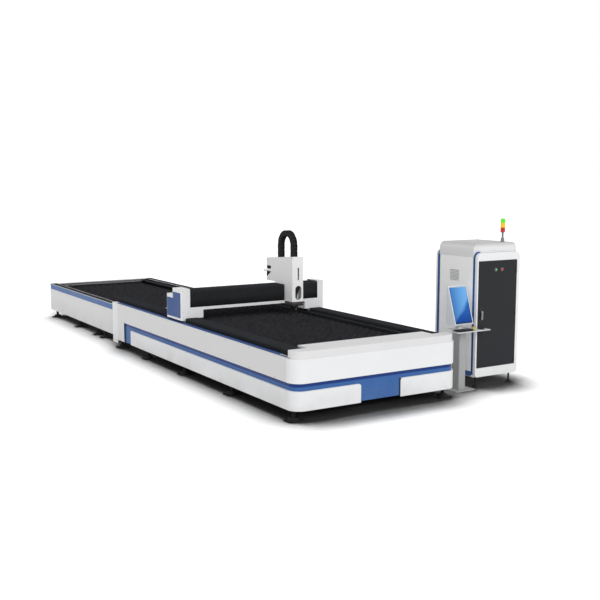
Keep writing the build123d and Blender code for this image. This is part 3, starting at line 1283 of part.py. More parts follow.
with BuildPart() as head_cover:
    with BuildSketch(face_x(COVER_LEFT_X)):
        add(cover_profile(0))
    extrude(amount=COVER_WIDTH)
    front_edges = head_cover.faces().sort_by(Axis.Y)[0].edges().filter_by(Axis.Z)
    fillet(front_edges, 8)
    with BuildSketch(face_x(COVER_LEFT_X + COVER_SHEET)):
        add(cover_profile(COVER_SHEET))
    extrude(amount=COVER_WIDTH - 2 * COVER_SHEET, mode=Mode.SUBTRACT)
    with BuildSketch(face_y(COVER_BACK_Y - 3 * COVER_SHEET)):
        with Locations((COVER_X, (COVER_BOTTOM_Z + motor_plate_z + 60) / 2)):
            Rectangle(2 * carriage_half - 8, motor_plate_z + 60 - COVER_BOTTOM_Z)
    extrude(amount=-130, mode=Mode.SUBTRACT)
    with BuildSketch(face_y(COVER_FRONT_Y)):
        with Locations((HEAD_X, WINDOW_Z)):
            SlotOverall(WINDOW_HEIGHT, WINDOW_WIDTH, rotation=90)
        with Locations((HEAD_X, COVER_SLOT_Z)):
            SlotOverall(COVER_SLOT_HEIGHT, COVER_SLOT_WIDTH, rotation=90)
    extrude(amount=-2 * COVER_SHEET, mode=Mode.SUBTRACT)
    with BuildSketch(face_z(COVER_REAR_TOP_Z - 20)):
        with Locations((CHAIN_X, CHAIN_FRONT_Y)):
            Rectangle(CHAIN_SIZE + 10, CHAIN_SIZE + 10)
        with Locations((CHAIN_X, CHAIN_REAR_Y)):
            Rectangle(CHAIN_SIZE + 2 * SEAT_GAP, CHAIN_SIZE + 2 * SEAT_GAP)
    extrude(amount=100, mode=Mode.SUBTRACT)
head_cover.part.label = "head_cover"
export_step(head_cover.part, "parts/head_cover.step")

# Laser head: a stepped barrel on a slide plate with four bearing blocks and the screw nut
slide_bottom_z = 1150
slide_top_z = 1332
slide_front_y = SLIDE_PLATE_BACK_Y - SLIDE_PLATE_THICKNESS
barrel_top_z = 1250
with BuildPart() as laser_head:
    with BuildSketch(Plane((HEAD_X, HEAD_Y, 0), x_dir=(1, 0, 0), z_dir=(0, -1, 0))):
        Polygon(
            (0, NOZZLE_TIP_Z + 30),
            (16, NOZZLE_TIP_Z + 30),
            (20, NOZZLE_TIP_Z + 34),
            (24, NOZZLE_TIP_Z + 60),
            (HEAD_RADIUS, NOZZLE_TIP_Z + 88),
            (HEAD_RADIUS, barrel_top_z),
            (30, barrel_top_z + 8),
            (30, barrel_top_z + 46),
            (14, barrel_top_z + 50),
            (14, barrel_top_z + 130),
            (0, barrel_top_z + 130),
            align=None,
        )
    revolve(axis=Axis((HEAD_X, HEAD_Y, 0), (0, 0, 1)))
    with BuildSketch(face_z(barrel_top_z - 90)):
        with Locations((HEAD_X, (HEAD_Y + slide_front_y) / 2)):
            Rectangle(56, slide_front_y - HEAD_Y)
    extrude(amount=80)
    with BuildSketch(face_y(slide_front_y)):
        with Locations((HEAD_X, (slide_bottom_z + slide_top_z) / 2)):
            Rectangle(136, slide_top_z - slide_bottom_z)
    extrude(amount=-SLIDE_PLATE_THICKNESS)
    with BuildSketch(face_z(slide_bottom_z + 5), face_z(slide_top_z - 55)):
        for side in (-1, 1):
            with Locations((HEAD_X + side * z_rail_offset, SLIDE_PLATE_BACK_Y + 12)):
                Rectangle(34, 24)
            with Locations((HEAD_X + side * z_rail_offset, Z_PLATE_FRONT_Y - z_rail_size / 2)):
                Rectangle(z_rail_size + 2 * RUN_GAP, z_rail_size + 2 * RUN_GAP, mode=Mode.SUBTRACT)
    extrude(amount=50)
    with BuildSketch(face_z(slide_bottom_z + 66)):
        with Locations((HEAD_X, SLIDE_PLATE_BACK_Y + 12)):
            Rectangle(32, 24)
        with Locations((HEAD_X, screw_y)):
            Circle(SCREW_RADIUS + RUN_GAP, mode=Mode.SUBTRACT)
    extrude(amount=50)
laser_head.part.label = "laser_head"
export_step(laser_head.part, "parts/laser_head.step")

with BuildPart() as nozzle:
    with BuildSketch(Plane((HEAD_X, HEAD_Y, 0), x_dir=(1, 0, 0), z_dir=(0, -1, 0))):
        Polygon(
            (0, NOZZLE_TIP_Z),
            (NOZZLE_RADIUS, NOZZLE_TIP_Z),
            (9, NOZZLE_TIP_Z + 14),
            (14, NOZZLE_TIP_Z + 16),
            (14, NOZZLE_TIP_Z + 30),
            (0, NOZZLE_TIP_Z + 30),
            align=None,
        )
    revolve(axis=Axis((HEAD_X, HEAD_Y, 0), (0, 0, 1)))
nozzle.part.label = "nozzle"
export_step(nozzle.part, "parts/nozzle.step")

# Pallet frame: two hollow side beams with an inner ledge and wheels outside, and flat ties
ledge_x = PALLET_HALF_WIDTH - PALLET_BEAM_WIDTH
wheel_z = PALLET_BOTTOM_Z + 30
wheel_ys = [PALLET_FRONT_Y + share * PALLET_LENGTH for share in (0.06, 0.35, 0.65, 0.94)]
tie_ys = [PALLET_FRONT_Y + share * PALLET_LENGTH for share in (0.01, 0.2, 0.4, 0.6, 0.8, 0.99)]
tie_width = 60
with BuildPart() as pallet_sides:
    with BuildSketch(face_y(PALLET_FRONT_Y)):
        with Locations((ledge_x + PALLET_BEAM_WIDTH / 2, PALLET_BOTTOM_Z + PALLET_BEAM_HEIGHT / 2)):
            Rectangle(PALLET_BEAM_WIDTH, PALLET_BEAM_HEIGHT)
        with Locations((ledge_x - SLAT_LEDGE / 2, PALLET_BOTTOM_Z + PALLET_TIE_HEIGHT / 2)):
            Rectangle(SLAT_LEDGE, PALLET_TIE_HEIGHT)
        with Locations((ledge_x + PALLET_BEAM_WIDTH / 2, PALLET_BOTTOM_Z + PALLET_BEAM_HEIGHT / 2)):
            Rectangle(PALLET_BEAM_WIDTH - 8, PALLET_BEAM_HEIGHT - 8, mode=Mode.SUBTRACT)
    extrude(amount=-PALLET_LENGTH)
    with BuildSketch(face_x(PALLET_HALF_WIDTH)):
        with Locations(*[(y, wheel_z) for y in wheel_ys]):
            Circle(12)
    extrude(amount=4)
    with BuildSketch(face_x(PALLET_HALF_WIDTH + 2)):
        with Locations(*[(y, wheel_z) for y in wheel_ys]):
            Circle(WHEEL_RADIUS)
    extrude(amount=WHEEL_WIDTH)
    mirror(about=Plane.YZ)
with BuildPart() as pallet_ties:
    with BuildSketch(face_z(PALLET_BOTTOM_Z)):
        with Locations(*[(0, y) for y in tie_ys]):
            Rectangle(2 * (ledge_x - SLAT_LEDGE), tie_width)
    extrude(amount=PALLET_TIE_HEIGHT)
pallet_solids = [*pallet_sides.part.solids(), *pallet_ties.part.solids()]
upper_pallet_frame = Compound(label="upper_pallet_frame", children=pallet_solids)
export_step(upper_pallet_frame, "parts/upper_pallet_frame.step")

# Slats: thin plates across the pallet with a row of points to hold the sheet
slat_half = ledge_x - 5
slat_top_z = SLAT_BOTTOM_Z + SLAT_HEIGHT
tooth_pitch = 2 * slat_half / SLAT_TEETH
slat_points = [(-slat_half, SLAT_BOTTOM_Z), (-slat_half, slat_top_z - SLAT_TOOTH)]
for tooth in range(SLAT_TEETH):
    tooth_x = -slat_half + tooth * tooth_pitch
    slat_points.append((tooth_x + tooth_pitch / 2, slat_top_z))
    slat_points.append((tooth_x + tooth_pitch, slat_top_z - SLAT_TOOTH))
slat_points.append((slat_half, SLAT_BOTTOM_Z))
first_slat_y = HEAD_Y - 14.5 * SLAT_PITCH
slat_ys = [first_slat_y + index * SLAT_PITCH for index in range(SLAT_COUNT)]
with BuildPart() as upper_slats:
    with BuildSketch(*[face_y(y - SLAT_THICKNESS / 2) for y in slat_ys]):
        Polygon(*slat_points, align=None)
    extrude(amount=-SLAT_THICKNESS)
upper_slats.part.label = "upper_slats"
export_step(upper_slats.part, "parts/upper_slats.step")

# The second pallet is the same, on the lower rails of the exchange table
lower_place = Location((0, PALLET_STROKE, -LEVEL_DROP))
lower_pallet_frame = Compound(
    label="lower_pallet_frame",
    children=[solid.moved(lower_place) for solid in pallet_solids],
)
export_step(lower_pallet_frame, "parts/lower_pallet_frame.step")
lower_slats = upper_slats.part.moved(lower_place)
lower_slats.label = "lower_slats"
export_step(lower_slats, "parts/lower_slats.step")

# Control cabinet: an inner box open at the front, with a grey skin on each side that stops short
# of the blue stripes, and a louvred vent on the left
frame_back_y = CABINET_FRONT_Y + CABINET_FRAME
rear_frame_y = CABINET_REAR_Y - CABINET_FRAME
skin_front_y = frame_back_y + CABINET_STRIPE
skin_back_y = rear_frame_y - CABINET_STRIPE
stripe_foot_y = 107
stripe_foot_height = 71
with BuildPart() as cabinet_shell:
    with BuildSketch(face_y(frame_back_y)):
        with Locations((CABINET_X, (CABINET_BOTTOM_Z + CABINET_SEAM_Z) / 2)):
            Rectangle(CABINET_WIDTH - 2 * CABINET_SKIN, CABINET_SEAM_Z - CABINET_BOTTOM_Z)
    extrude(amount=frame_back_y - rear_frame_y)
    with BuildSketch(face_y(frame_back_y)):
        with Locations((CABINET_X, (CABINET_BOTTOM_Z + CABINET_SEAM_Z) / 2)):
            Rectangle(
                CABINET_WIDTH - 2 * CABINET_SKIN - 2 * CABINET_WALL,
                CABINET_SEAM_Z - CABINET_BOTTOM_Z - 2 * CABINET_WALL,
            )
    extrude(amount=frame_back_y - rear_frame_y + CABINET_WALL, mode=Mode.SUBTRACT)
    with BuildSketch(face_x(CABINET_LEFT_X), face_x(CABINET_RIGHT_X - CABINET_SKIN)):
        Polygon(
            (skin_front_y + stripe_foot_y, CABINET_BOTTOM_Z),
            (skin_back_y, CABINET_BOTTOM_Z),
            (skin_back_y, CABINET_SEAM_Z),
            (skin_front_y, CABINET_SEAM_Z),
            (skin_front_y, CABINET_BOTTOM_Z + stripe_foot_height),
            (skin_front_y + stripe_foot_y, CABINET_BOTTOM_Z + stripe_foot_height),
            align=None,
        )
    extrude(amount=CABINET_SKIN)
    with BuildSketch(face_x(CABINET_LEFT_X)):
        with Locations((VENT_Y, VENT_Z)):
            with GridLocations(1, VENT_PITCH, 1, VENT_SLOTS):
                Rectangle(VENT_WIDTH, VENT_SLOT)
    extrude(amount=CABINET_SKIN + CABINET_WALL, mode=Mode.SUBTRACT)
cabinet_shell.part.label = "cabinet_shell"
export_step(cabinet_shell.part, "parts/cabinet_shell.step")

# White frames at the front and the rear of the cabinet, with three hinge barrels for the door
door_left_x = CABINET_LEFT_X + DOOR_LEFT_GAP + DOOR_GAP
door_right_x = CABINET_RIGHT_X - DOOR_RIGHT_GAP - DOOR_GAP
door_front_y = CABINET_FRONT_Y - DOOR_PROUD
hinge_radius = 6
hinge_pin_radius = 3
hinge_x = door_right_x
hinge_y = door_front_y - hinge_radius
hinge_zs = [DOOR_BOTTOM_Z + 80, (DOOR_BOTTOM_Z + DOOR_TOP_Z) / 2, DOOR_TOP_Z - 120]
knuckle_height = 40
frame_height = CABINET_FRONT_SEAM_Z - CABINET_BOTTOM_Z
door_opening_left_x = door_left_x - DOOR_GAP
door_opening_right_x = door_right_x + DOOR_GAP
with BuildPart() as frame_posts:
    with BuildSketch(face_y(frame_back_y)):
        with Locations(
            ((CABINET_LEFT_X + door_opening_left_x) / 2, CABINET_BOTTOM_Z + frame_height / 2),
        ):
            Rectangle(door_opening_left_x - CABINET_LEFT_X, frame_height)
        with Locations(
            ((CABINET_RIGHT_X + door_opening_right_x) / 2, CABINET_BOTTOM_Z + frame_height / 2),
        ):
            Rectangle(CABINET_RIGHT_X - door_opening_right_x, frame_height)
    extrude(amount=CABINET_FRAME)
    with BuildSketch(*[face_z(z + SEAT_GAP) for z in hinge_zs]):
        with Locations((hinge_x, hinge_y)):
            Circle(hinge_radius - RUN_GAP)
        with Locations((hinge_x + RUN_GAP + 16, CABINET_FRONT_Y - 4.5)):
            Rectangle(32, 9)
    extrude(amount=knuckle_height)
    with BuildSketch(*[face_z(z + SEAT_GAP) for z in hinge_zs]):
        with Locations((hinge_x, hinge_y)):
            Circle(hinge_pin_radius)
    extrude(amount=-knuckle_height)
with BuildPart() as frame_bars:
    with BuildSketch(face_y(frame_back_y)):
        with Locations(
            ((door_opening_left_x + door_opening_right_x) / 2, (CABINET_BOTTOM_Z + DOOR_BOTTOM_Z) / 2),
        ):
            Rectangle(door_opening_right_x - door_opening_left_x, DOOR_BOTTOM_Z - CABINET_BOTTOM_Z)
        with Locations(
            ((door_opening_left_x + door_opening_right_x) / 2, (DOOR_TOP_Z + CABINET_FRONT_SEAM_Z) / 2),
        ):
            Rectangle(door_opening_right_x - door_opening_left_x, CABINET_FRONT_SEAM_Z - DOOR_TOP_Z)
    extrude(amount=CABINET_FRAME)
rear_bar = 60
with BuildPart() as rear_posts:
    with BuildSketch(face_y(CABINET_REAR_Y)):
        with Locations(
            (CABINET_LEFT_X + rear_bar / 2, (CABINET_BOTTOM_Z + CABINET_SEAM_Z) / 2),
            (CABINET_RIGHT_X - rear_bar / 2, (CABINET_BOTTOM_Z + CABINET_SEAM_Z) / 2),
        ):
            Rectangle(rear_bar, CABINET_SEAM_Z - CABINET_BOTTOM_Z)
    extrude(amount=CABINET_FRAME)
with BuildPart() as rear_bars:
    with BuildSketch(face_y(CABINET_REAR_Y)):
        with Locations(
            (CABINET_X, CABINET_BOTTOM_Z + rear_bar / 2),
            (CABINET_X, CABINET_SEAM_Z - rear_bar / 2),
        ):
            Rectangle(CABINET_WIDTH - 2 * rear_bar, rear_bar)
    extrude(amount=CABINET_FRAME)
cabinet_frame_solids = []
for bars in (frame_posts, frame_bars, rear_posts, rear_bars):
    cabinet_frame_solids += bars.part.solids()
cabinet_frames = Compound(label="cabinet_frames", children=cabinet_frame_solids)
export_step(cabinet_frames, "parts/cabinet_frames.step")

# Blue stripes on the cabinet sides: the front ones turn back along the bottom
with BuildPart() as cabinet_trims:
    with BuildSketch(
        face_x(CABINET_LEFT_X + CABINET_SKIN - CABINET_STRIPE_DEPTH),
        face_x(CABINET_RIGHT_X - CABINET_SKIN),
    ):
        Polygon(
            (frame_back_y, CABINET_BOTTOM_Z),
            (skin_front_y + stripe_foot_y, CABINET_BOTTOM_Z),
            (skin_front_y + stripe_foot_y, CABINET_BOTTOM_Z + stripe_foot_height),
            (skin_front_y, CABINET_BOTTOM_Z + stripe_foot_height),
            (skin_front_y, CABINET_SEAM_Z),
            (frame_back_y, CABINET_SEAM_Z),
            align=None,
        )
        with Locations(((skin_back_y + rear_frame_y) / 2, (CABINET_BOTTOM_Z + CABINET_SEAM_Z) / 2)):
            Rectangle(rear_frame_y - skin_back_y, CABINET_SEAM_Z - CABINET_BOTTOM_Z)
    extrude(amount=CABINET_STRIPE_DEPTH)
cabinet_trims.part.label = "cabinet_trims"
export_step(cabinet_trims.part, "parts/cabinet_trims.step")

# Cabinet top cover: a hollow lid with rounded edges whose side skirts reach below the front one
cover_depth = CABINET_REAR_Y - CABINET_FRONT_Y
with BuildPart() as cabinet_top_cover:
    with Locations((CABINET_X, (CABINET_FRONT_Y + CABINET_REAR_Y) / 2, CABINET_SEAM_Z)):
        Box(
            CABINET_WIDTH,
            cover_depth,
            CABINET_TOP_Z - CABINET_SEAM_Z,
            align=(Align.CENTER, Align.CENTER, Align.MIN),
        )
    fillet(cabinet_top_cover.edges().group_by(Axis.Z)[-1], CABINET_EDGE_RADIUS)
    with Locations((CABINET_X, (CABINET_FRONT_Y + CABINET_REAR_Y) / 2, CABINET_SEAM_Z)):
        Box(
            CABINET_WIDTH - 2 * CABINET_SKIN,
            cover_depth - 2 * CABINET_SKIN,
            CABINET_TOP_Z - CABINET_SEAM_Z - CABINET_EDGE_RADIUS,
            align=(Align.CENTER, Align.CENTER, Align.MIN),
            mode=Mode.SUBTRACT,
        )
    with Locations((CABINET_X, CABINET_FRONT_Y, CABINET_SEAM_Z)):
        Box(
            CABINET_WIDTH,
            CABINET_FRAME,
            CABINET_FRONT_SEAM_Z - CABINET_SEAM_Z,
            align=(Align.CENTER, Align.MIN, Align.MIN),
            mode=Mode.SUBTRACT,
        )
cabinet_top_cover.part.label = "cabinet_top_cover"
export_step(cabinet_top_cover.part, "parts/cabinet_top_cover.step")

# Cabinet door: a pressed pan with the holes for the buttons and three hinge knuckles
with BuildPart() as cabinet_door:
    with BuildSketch(face_y(door_front_y)):
        with Locations(((door_left_x + door_right_x) / 2, (DOOR_BOTTOM_Z + DOOR_TOP_Z) / 2)):
            Rectangle(door_right_x - door_left_x, DOOR_TOP_Z - DOOR_BOTTOM_Z - 2 * DOOR_GAP)
    extrude(amount=-DOOR_THICKNESS)
    with BuildSketch(face_y(door_front_y + 3)):
        with Locations(((door_left_x + door_right_x) / 2, (DOOR_BOTTOM_Z + DOOR_TOP_Z) / 2)):
            Rectangle(door_right_x - door_left_x - 8, DOOR_TOP_Z - DOOR_BOTTOM_Z - 2 * DOOR_GAP - 8)
    extrude(amount=-DOOR_THICKNESS, mode=Mode.SUBTRACT)
    with BuildSketch(*[face_z(z - knuckle_height) for z in hinge_zs]):
        with Locations((hinge_x, hinge_y)):
            Circle(hinge_radius)
        with Locations((hinge_x - 12, hinge_y + hinge_radius - 3)):
            Rectangle(24, 6)
        with Locations((hinge_x, hinge_y)):
            Circle(hinge_pin_radius + RUN_GAP / 2, mode=Mode.SUBTRACT)
    extrude(amount=knuckle_height)
    with BuildSketch(face_y(door_front_y)):
        with Locations((START_X, BUTTON_Z), (STOP_X, BUTTON_Z)):
            Circle(BUTTON_STEM_RADIUS + SEAT_GAP)
    extrude(amount=-3, mode=Mode.SUBTRACT)
cabinet_door.part.label = "cabinet_door"
export_step(cabinet_door.part, "parts/cabinet_door.step")

# Door handle: a lever that hangs from a turning boss at its top
handle_stand_off = 14
handle_boss_z = HANDLE_TOP_Z - HANDLE_WIDTH / 2
with BuildPart() as door_handle:
    with BuildSketch(face_y(door_front_y - handle_stand_off)):
        with Locations((HANDLE_X, HANDLE_TOP_Z - HANDLE_LENGTH / 2)):
            SlotOverall(HANDLE_LENGTH, HANDLE_WIDTH, rotation=90)
    extrude(amount=12)
    with BuildSketch(face_y(door_front_y - SEAT_GAP)):
        with Locations((HANDLE_X, handle_boss_z)):
            Circle(10)
    extrude(amount=handle_stand_off - SEAT_GAP)
door_handle.part.label = "door_handle"
export_step(door_handle.part, "parts/door_handle.step")

# Push buttons: a domed cap on a stem that passes through the door
button_lift = 5.5
for name, x in (("start_button", START_X), ("stop_button", STOP_X)):
    with BuildPart() as button:
        with BuildSketch(face_y(door_front_y - button_lift)):
            with Locations((x, BUTTON_Z)):
                Circle(BUTTON_RADIUS)
        extrude(amount=8)
        chamfer(button.edges().sort_by(Axis.Y)[0], 3)
        with BuildSketch(face_y(door_front_y - button_lift)):
            with Locations((x, BUTTON_Z)):
                Circle(BUTTON_STEM_RADIUS)
        extrude(amount=-(button_lift + 10))
    button.part.label = name
    export_step(button.part, f"parts/{name}.step")

# Laser source: a housing that stands on the cabinet floor
source_width = 560
source_depth = 550
source_height = 600
with BuildPart() as laser_source:
    with Locations((CABINET_X, (CABINET_FRONT_Y + CABINET_REAR_Y) / 2, CABINET_BOTTOM_Z + CABINET_WALL)):
        Box(source_width, source_depth, source_height, align=(Align.CENTER, Align.CENTER, Align.MIN))
    chamfer(laser_source.edges().group_by(Axis.Z)[-1], 6)
    with Locations((CABINET_X, (CABINET_FRONT_Y + CABINET_REAR_Y) / 2, CABINET_BOTTOM_Z + CABINET_WALL)):
        Box(
            source_width - 2 * BEAM_WALL,
            source_depth - 2 * BEAM_WALL,
            source_height - BEAM_WALL,
            align=(Align.CENTER, Align.CENTER, Align.MIN),
            mode=Mode.SUBTRACT,
        )
laser_source.part.label = "laser_source"
export_step(laser_source.part, "parts/laser_source.step")

# Signal lamp: a base and pole, then three lamps
with BuildPart() as tower_pole:
    with BuildSketch(face_z(CABINET_TOP_Z)):
        with Locations((TOWER_X, TOWER_Y)):
            Circle(LAMP_RADIUS + 4)
    extrude(amount=22)
    with BuildSketch(face_z(CABINET_TOP_Z)):
        with Locations((TOWER_X, TOWER_Y)):
            Circle(POLE_RADIUS)
    extrude(amount=22 + POLE_HEIGHT)
tower_pole.part.label = "tower_pole"
export_step(tower_pole.part, "parts/tower_pole.step")

lamp_bottom_z = CABINET_TOP_Z + 22 + POLE_HEIGHT
for index, name in enumerate(("lamp_red", "lamp_yellow", "lamp_green")):
    with BuildPart() as lamp:
        with BuildSketch(face_z(lamp_bottom_z + index * LAMP_HEIGHT)):
            with Locations((TOWER_X, TOWER_Y)):
                Circle(LAMP_RADIUS)
        extrude(amount=LAMP_HEIGHT)
        if name == "lamp_green":
            chamfer(lamp.edges().sort_by(Axis.Z)[-1], 8)
    lamp.part.label = name
    export_step(lamp.part, f"parts/{name}.step")

# Operator stand: a floor plate with bolt holes, a rounded tube, and a tray with a lip
tongue_left_x = STAND_X - 130
tongue_right_x = STAND_X + 130
tongue_back_y = STAND_Y + COLUMN_DEPTH / 2
with BuildPart() as stand_column:
    with BuildSketch(face_z(0)):
        with Locations((STAND_X, STAND_Y)):
            RectangleRounded(STAND_PLATE, STAND_PLATE, 20)
            with GridLocations(STAND_HOLE_SPACING, STAND_HOLE_SPACING, 2, 2):
                Circle(STAND_HOLE_RADIUS, mode=Mode.SUBTRACT)
    extrude(amount=STAND_PLATE_THICKNESS)
    with BuildSketch(face_z(STAND_PLATE_THICKNESS)):
        with Locations((STAND_X, STAND_Y)):
            RectangleRounded(COLUMN_WIDTH, COLUMN_DEPTH, 14)
            RectangleRounded(COLUMN_WIDTH - 2 * SHEET, COLUMN_DEPTH - 2 * SHEET, 10, mode=Mode.SUBTRACT)
    extrude(amount=TRAY_Z - SHEET - STAND_PLATE_THICKNESS)
with BuildPart() as stand_tray:
    with BuildSketch(face_z(TRAY_Z)):
        with Locations(((TRAY_LEFT_X + TRAY_RIGHT_X) / 2, (TRAY_FRONT_Y + TRAY_BACK_Y) / 2)):
            Rectangle(TRAY_RIGHT_X - TRAY_LEFT_X, TRAY_BACK_Y - TRAY_FRONT_Y)
    extrude(amount=-TRAY_LIP)
    with BuildSketch(face_z(TRAY_Z - SHEET)):
        with Locations(((TRAY_LEFT_X + TRAY_RIGHT_X) / 2, (TRAY_FRONT_Y + TRAY_BACK_Y) / 2 + SHEET)):
            Rectangle(TRAY_RIGHT_X - TRAY_LEFT_X - 2 * SHEET, TRAY_BACK_Y - TRAY_FRONT_Y)
    extrude(amount=-TRAY_LIP, mode=Mode.SUBTRACT)
    with BuildSketch(face_z(TRAY_Z)):
        with Locations((STAND_X, (TRAY_BACK_Y - 1 + tongue_back_y) / 2)):
            Rectangle(tongue_right_x - tongue_left_x, tongue_back_y - TRAY_BACK_Y + 1)
    extrude(amount=-SHEET)
    with BuildSketch(face_z(TRAY_Z)):
        with Locations((STAND_X, STAND_Y)):
            RectangleRounded(80, 70, 8)
    extrude(amount=MONITOR_BOTTOM_Z - TRAY_Z)
    with BuildSketch(face_z(TRAY_Z)):
        with Locations((ESTOP_X, ESTOP_Y)):
            Circle(ESTOP_RADIUS + 8)
            Circle(7 + SEAT_GAP, mode=Mode.SUBTRACT)
    extrude(amount=22)
console_stand = Compound(label="console_stand", children=[stand_column.part, stand_tray.part])
export_step(console_stand, "parts/console_stand.step")

# Keyboard with a wedge section and its mouse, resting on the tray
with BuildPart() as keyboard:
    with BuildSketch(face_x(TRAY_LEFT_X + 25)):
        Polygon(
            (TRAY_FRONT_Y + 8, TRAY_Z),
            (TRAY_FRONT_Y + 8, TRAY_Z + 8),
            (TRAY_FRONT_Y + 110, TRAY_Z + 18),
            (TRAY_FRONT_Y + 118, TRAY_Z),
            align=None,
        )
    extrude(amount=240)
    with BuildSketch(face_z(TRAY_Z)):
        with Locations((TRAY_RIGHT_X - 95, TRAY_FRONT_Y + 70)):
            Ellipse(30, 50)
    extrude(amount=22, taper=30)
keyboard.part.label = "keyboard"
export_step(keyboard.part, "parts/keyboard.step")

# Monitor: a wedge housing with an upright back and a leaning front, and a screen in a pocket
lean = radians(MONITOR_LEAN)
monitor_left_x = STAND_X - MONITOR_WIDTH / 2
monitor_top_y = MONITOR_FRONT_Y + MONITOR_LENGTH * sin(lean)
monitor_top_z = MONITOR_BOTTOM_Z + MONITOR_LENGTH * cos(lean)
screen_plane = Plane(
    (STAND_X, (MONITOR_FRONT_Y + monitor_top_y) / 2, (MONITOR_BOTTOM_Z + monitor_top_z) / 2),
    x_dir=(1, 0, 0),
    z_dir=(0, -cos(lean), sin(lean)),
)
screen_width = MONITOR_WIDTH - 2 * BEZEL
screen_length = MONITOR_LENGTH - 2.6 * BEZEL
with BuildPart() as monitor_housing:
    with BuildSketch(face_x(monitor_left_x)):
        Polygon(
            (MONITOR_FRONT_Y, MONITOR_BOTTOM_Z),
            (monitor_top_y, monitor_top_z),
            (monitor_top_y + MONITOR_TOP_DEPTH, monitor_top_z),
            (monitor_top_y + MONITOR_TOP_DEPTH, MONITOR_BOTTOM_Z),
            align=None,
        )
    extrude(amount=MONITOR_WIDTH)
    fillet(monitor_housing.edges().filter_by(Axis.X), 5)
    with BuildSketch(screen_plane):
        Rectangle(screen_width, screen_length)
    extrude(amount=-SCREEN_POCKET, mode=Mode.SUBTRACT)
monitor_housing.part.label = "monitor_housing"
export_step(monitor_housing.part, "parts/monitor_housing.step")

screen_gap = 0.5
with BuildPart() as monitor_screen:
    with BuildSketch(screen_plane.offset(-SCREEN_POCKET)):
        Rectangle(screen_width - 2 * screen_gap, screen_length - 2 * screen_gap)
    extrude(amount=SCREEN_POCKET - 1)
monitor_screen.part.label = "monitor_screen"
export_step(monitor_screen.part, "parts/monitor_screen.step")

# Emergency stop: a mushroom head over a collar on the tray
estop_collar_z = TRAY_Z + 22
with BuildPart() as e_stop:
    with BuildSketch(face_z(estop_collar_z + 7)):
        with Locations((ESTOP_X, ESTOP_Y)):
            Circle(ESTOP_RADIUS)
    extrude(amount=14)
    chamfer(e_stop.edges().sort_by(Axis.Z)[-1], 5)
    with BuildSketch(face_z(TRAY_Z + 8)):
        with Locations((ESTOP_X, ESTOP_Y)):
            Circle(7)
    extrude(amount=22)
e_stop.part.label = "e_stop"
export_step(e_stop.part, "parts/e_stop.step")
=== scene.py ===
# Looks for a flat-bed fiber laser cutting machine: lights, floor, camera, materials, and the
# pieces that need more than plain solids, such as the pleated covers and the cable chain.
import json
import math

import bmesh
import bpy
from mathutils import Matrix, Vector


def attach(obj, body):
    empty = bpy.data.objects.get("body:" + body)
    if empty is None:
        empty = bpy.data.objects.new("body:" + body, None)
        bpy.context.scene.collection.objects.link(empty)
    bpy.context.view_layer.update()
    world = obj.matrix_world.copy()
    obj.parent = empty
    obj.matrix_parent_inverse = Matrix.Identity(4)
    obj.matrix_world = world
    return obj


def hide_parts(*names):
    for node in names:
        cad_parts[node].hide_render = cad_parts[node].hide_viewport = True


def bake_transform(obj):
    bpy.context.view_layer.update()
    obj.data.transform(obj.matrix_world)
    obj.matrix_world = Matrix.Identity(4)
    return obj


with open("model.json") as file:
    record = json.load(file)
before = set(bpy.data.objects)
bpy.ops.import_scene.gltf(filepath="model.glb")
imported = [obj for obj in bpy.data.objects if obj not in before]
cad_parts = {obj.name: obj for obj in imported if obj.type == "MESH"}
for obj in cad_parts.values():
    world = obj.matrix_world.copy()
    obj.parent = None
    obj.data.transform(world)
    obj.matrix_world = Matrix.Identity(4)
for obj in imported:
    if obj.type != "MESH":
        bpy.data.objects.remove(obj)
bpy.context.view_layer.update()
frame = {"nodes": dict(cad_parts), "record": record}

NODES = frame["nodes"]
MM = 0.001
scene = bpy.context.scene
scene.view_settings.view_transform = "Standard"

# ---------------------------------------------------------------- camera, light and floor
# The camera was fitted to the photo. Angles are in degrees.
CAMERA_PLACE = (-6.099, -10.918, 2.620)
CAMERA_LENS, CAMERA_DOWN, CAMERA_TURN = 53.91, 7.456, -31.662
SUN_FROM, SUN_STRENGTH, SUN_ANGLE = (-0.16, -0.85, 0.5), 1.04, 24
SKY_HORIZON, SKY_TOP = 0.96, 0.42
FLOOR_REACH, FLOOR_PLAIN = 60, 0.9
# The contact shade: the way it looks out, how far, and how open a place is at each tone.
SHADE_LEAN, SHADE_REACH = (-0.29, 0.33, 0.9), 0.6
SHADE_OPEN, SHADE_TONE = (0.6, 0.94), (0.06, 1.6)

camera_data = bpy.data.cameras.new("camera")
camera_data.lens = CAMERA_LENS
camera_data.sensor_width = 36
camera_data.clip_end = 200
camera = bpy.data.objects.new("camera", camera_data)
camera.location = CAMERA_PLACE
camera.rotation_euler = (math.radians(90 - CAMERA_DOWN), 0, math.radians(CAMERA_TURN))
scene.collection.objects.link(camera)
scene.camera = camera


def node(tree, kind, inputs=None, **settings):
    """A new shader node. Each input is another node's output or a plain value."""
    made = tree.nodes.new(kind)
    for key, value in settings.items():
        setattr(made, key, value)
    for key, value in (inputs or {}).items():
        if isinstance(value, bpy.types.NodeSocket):
            tree.links.new(value, made.inputs[key])
        else:
            made.inputs[key].default_value = value
    return made


def maths(tree, operation, a, b=0.0, clamp=False):
    made = node(tree, "ShaderNodeMath", {0: a, 1: b}, operation=operation, use_clamp=clamp)
    return made.outputs[0]


def remap(tree, value, low, high, to_low=0.0, to_high=1.0):
    """A value taken from one range to another, and held inside it."""
    inputs = {0: value, 1: low, 2: high, 3: to_low, 4: to_high}
    return node(tree, "ShaderNodeMapRange", inputs).outputs[0]


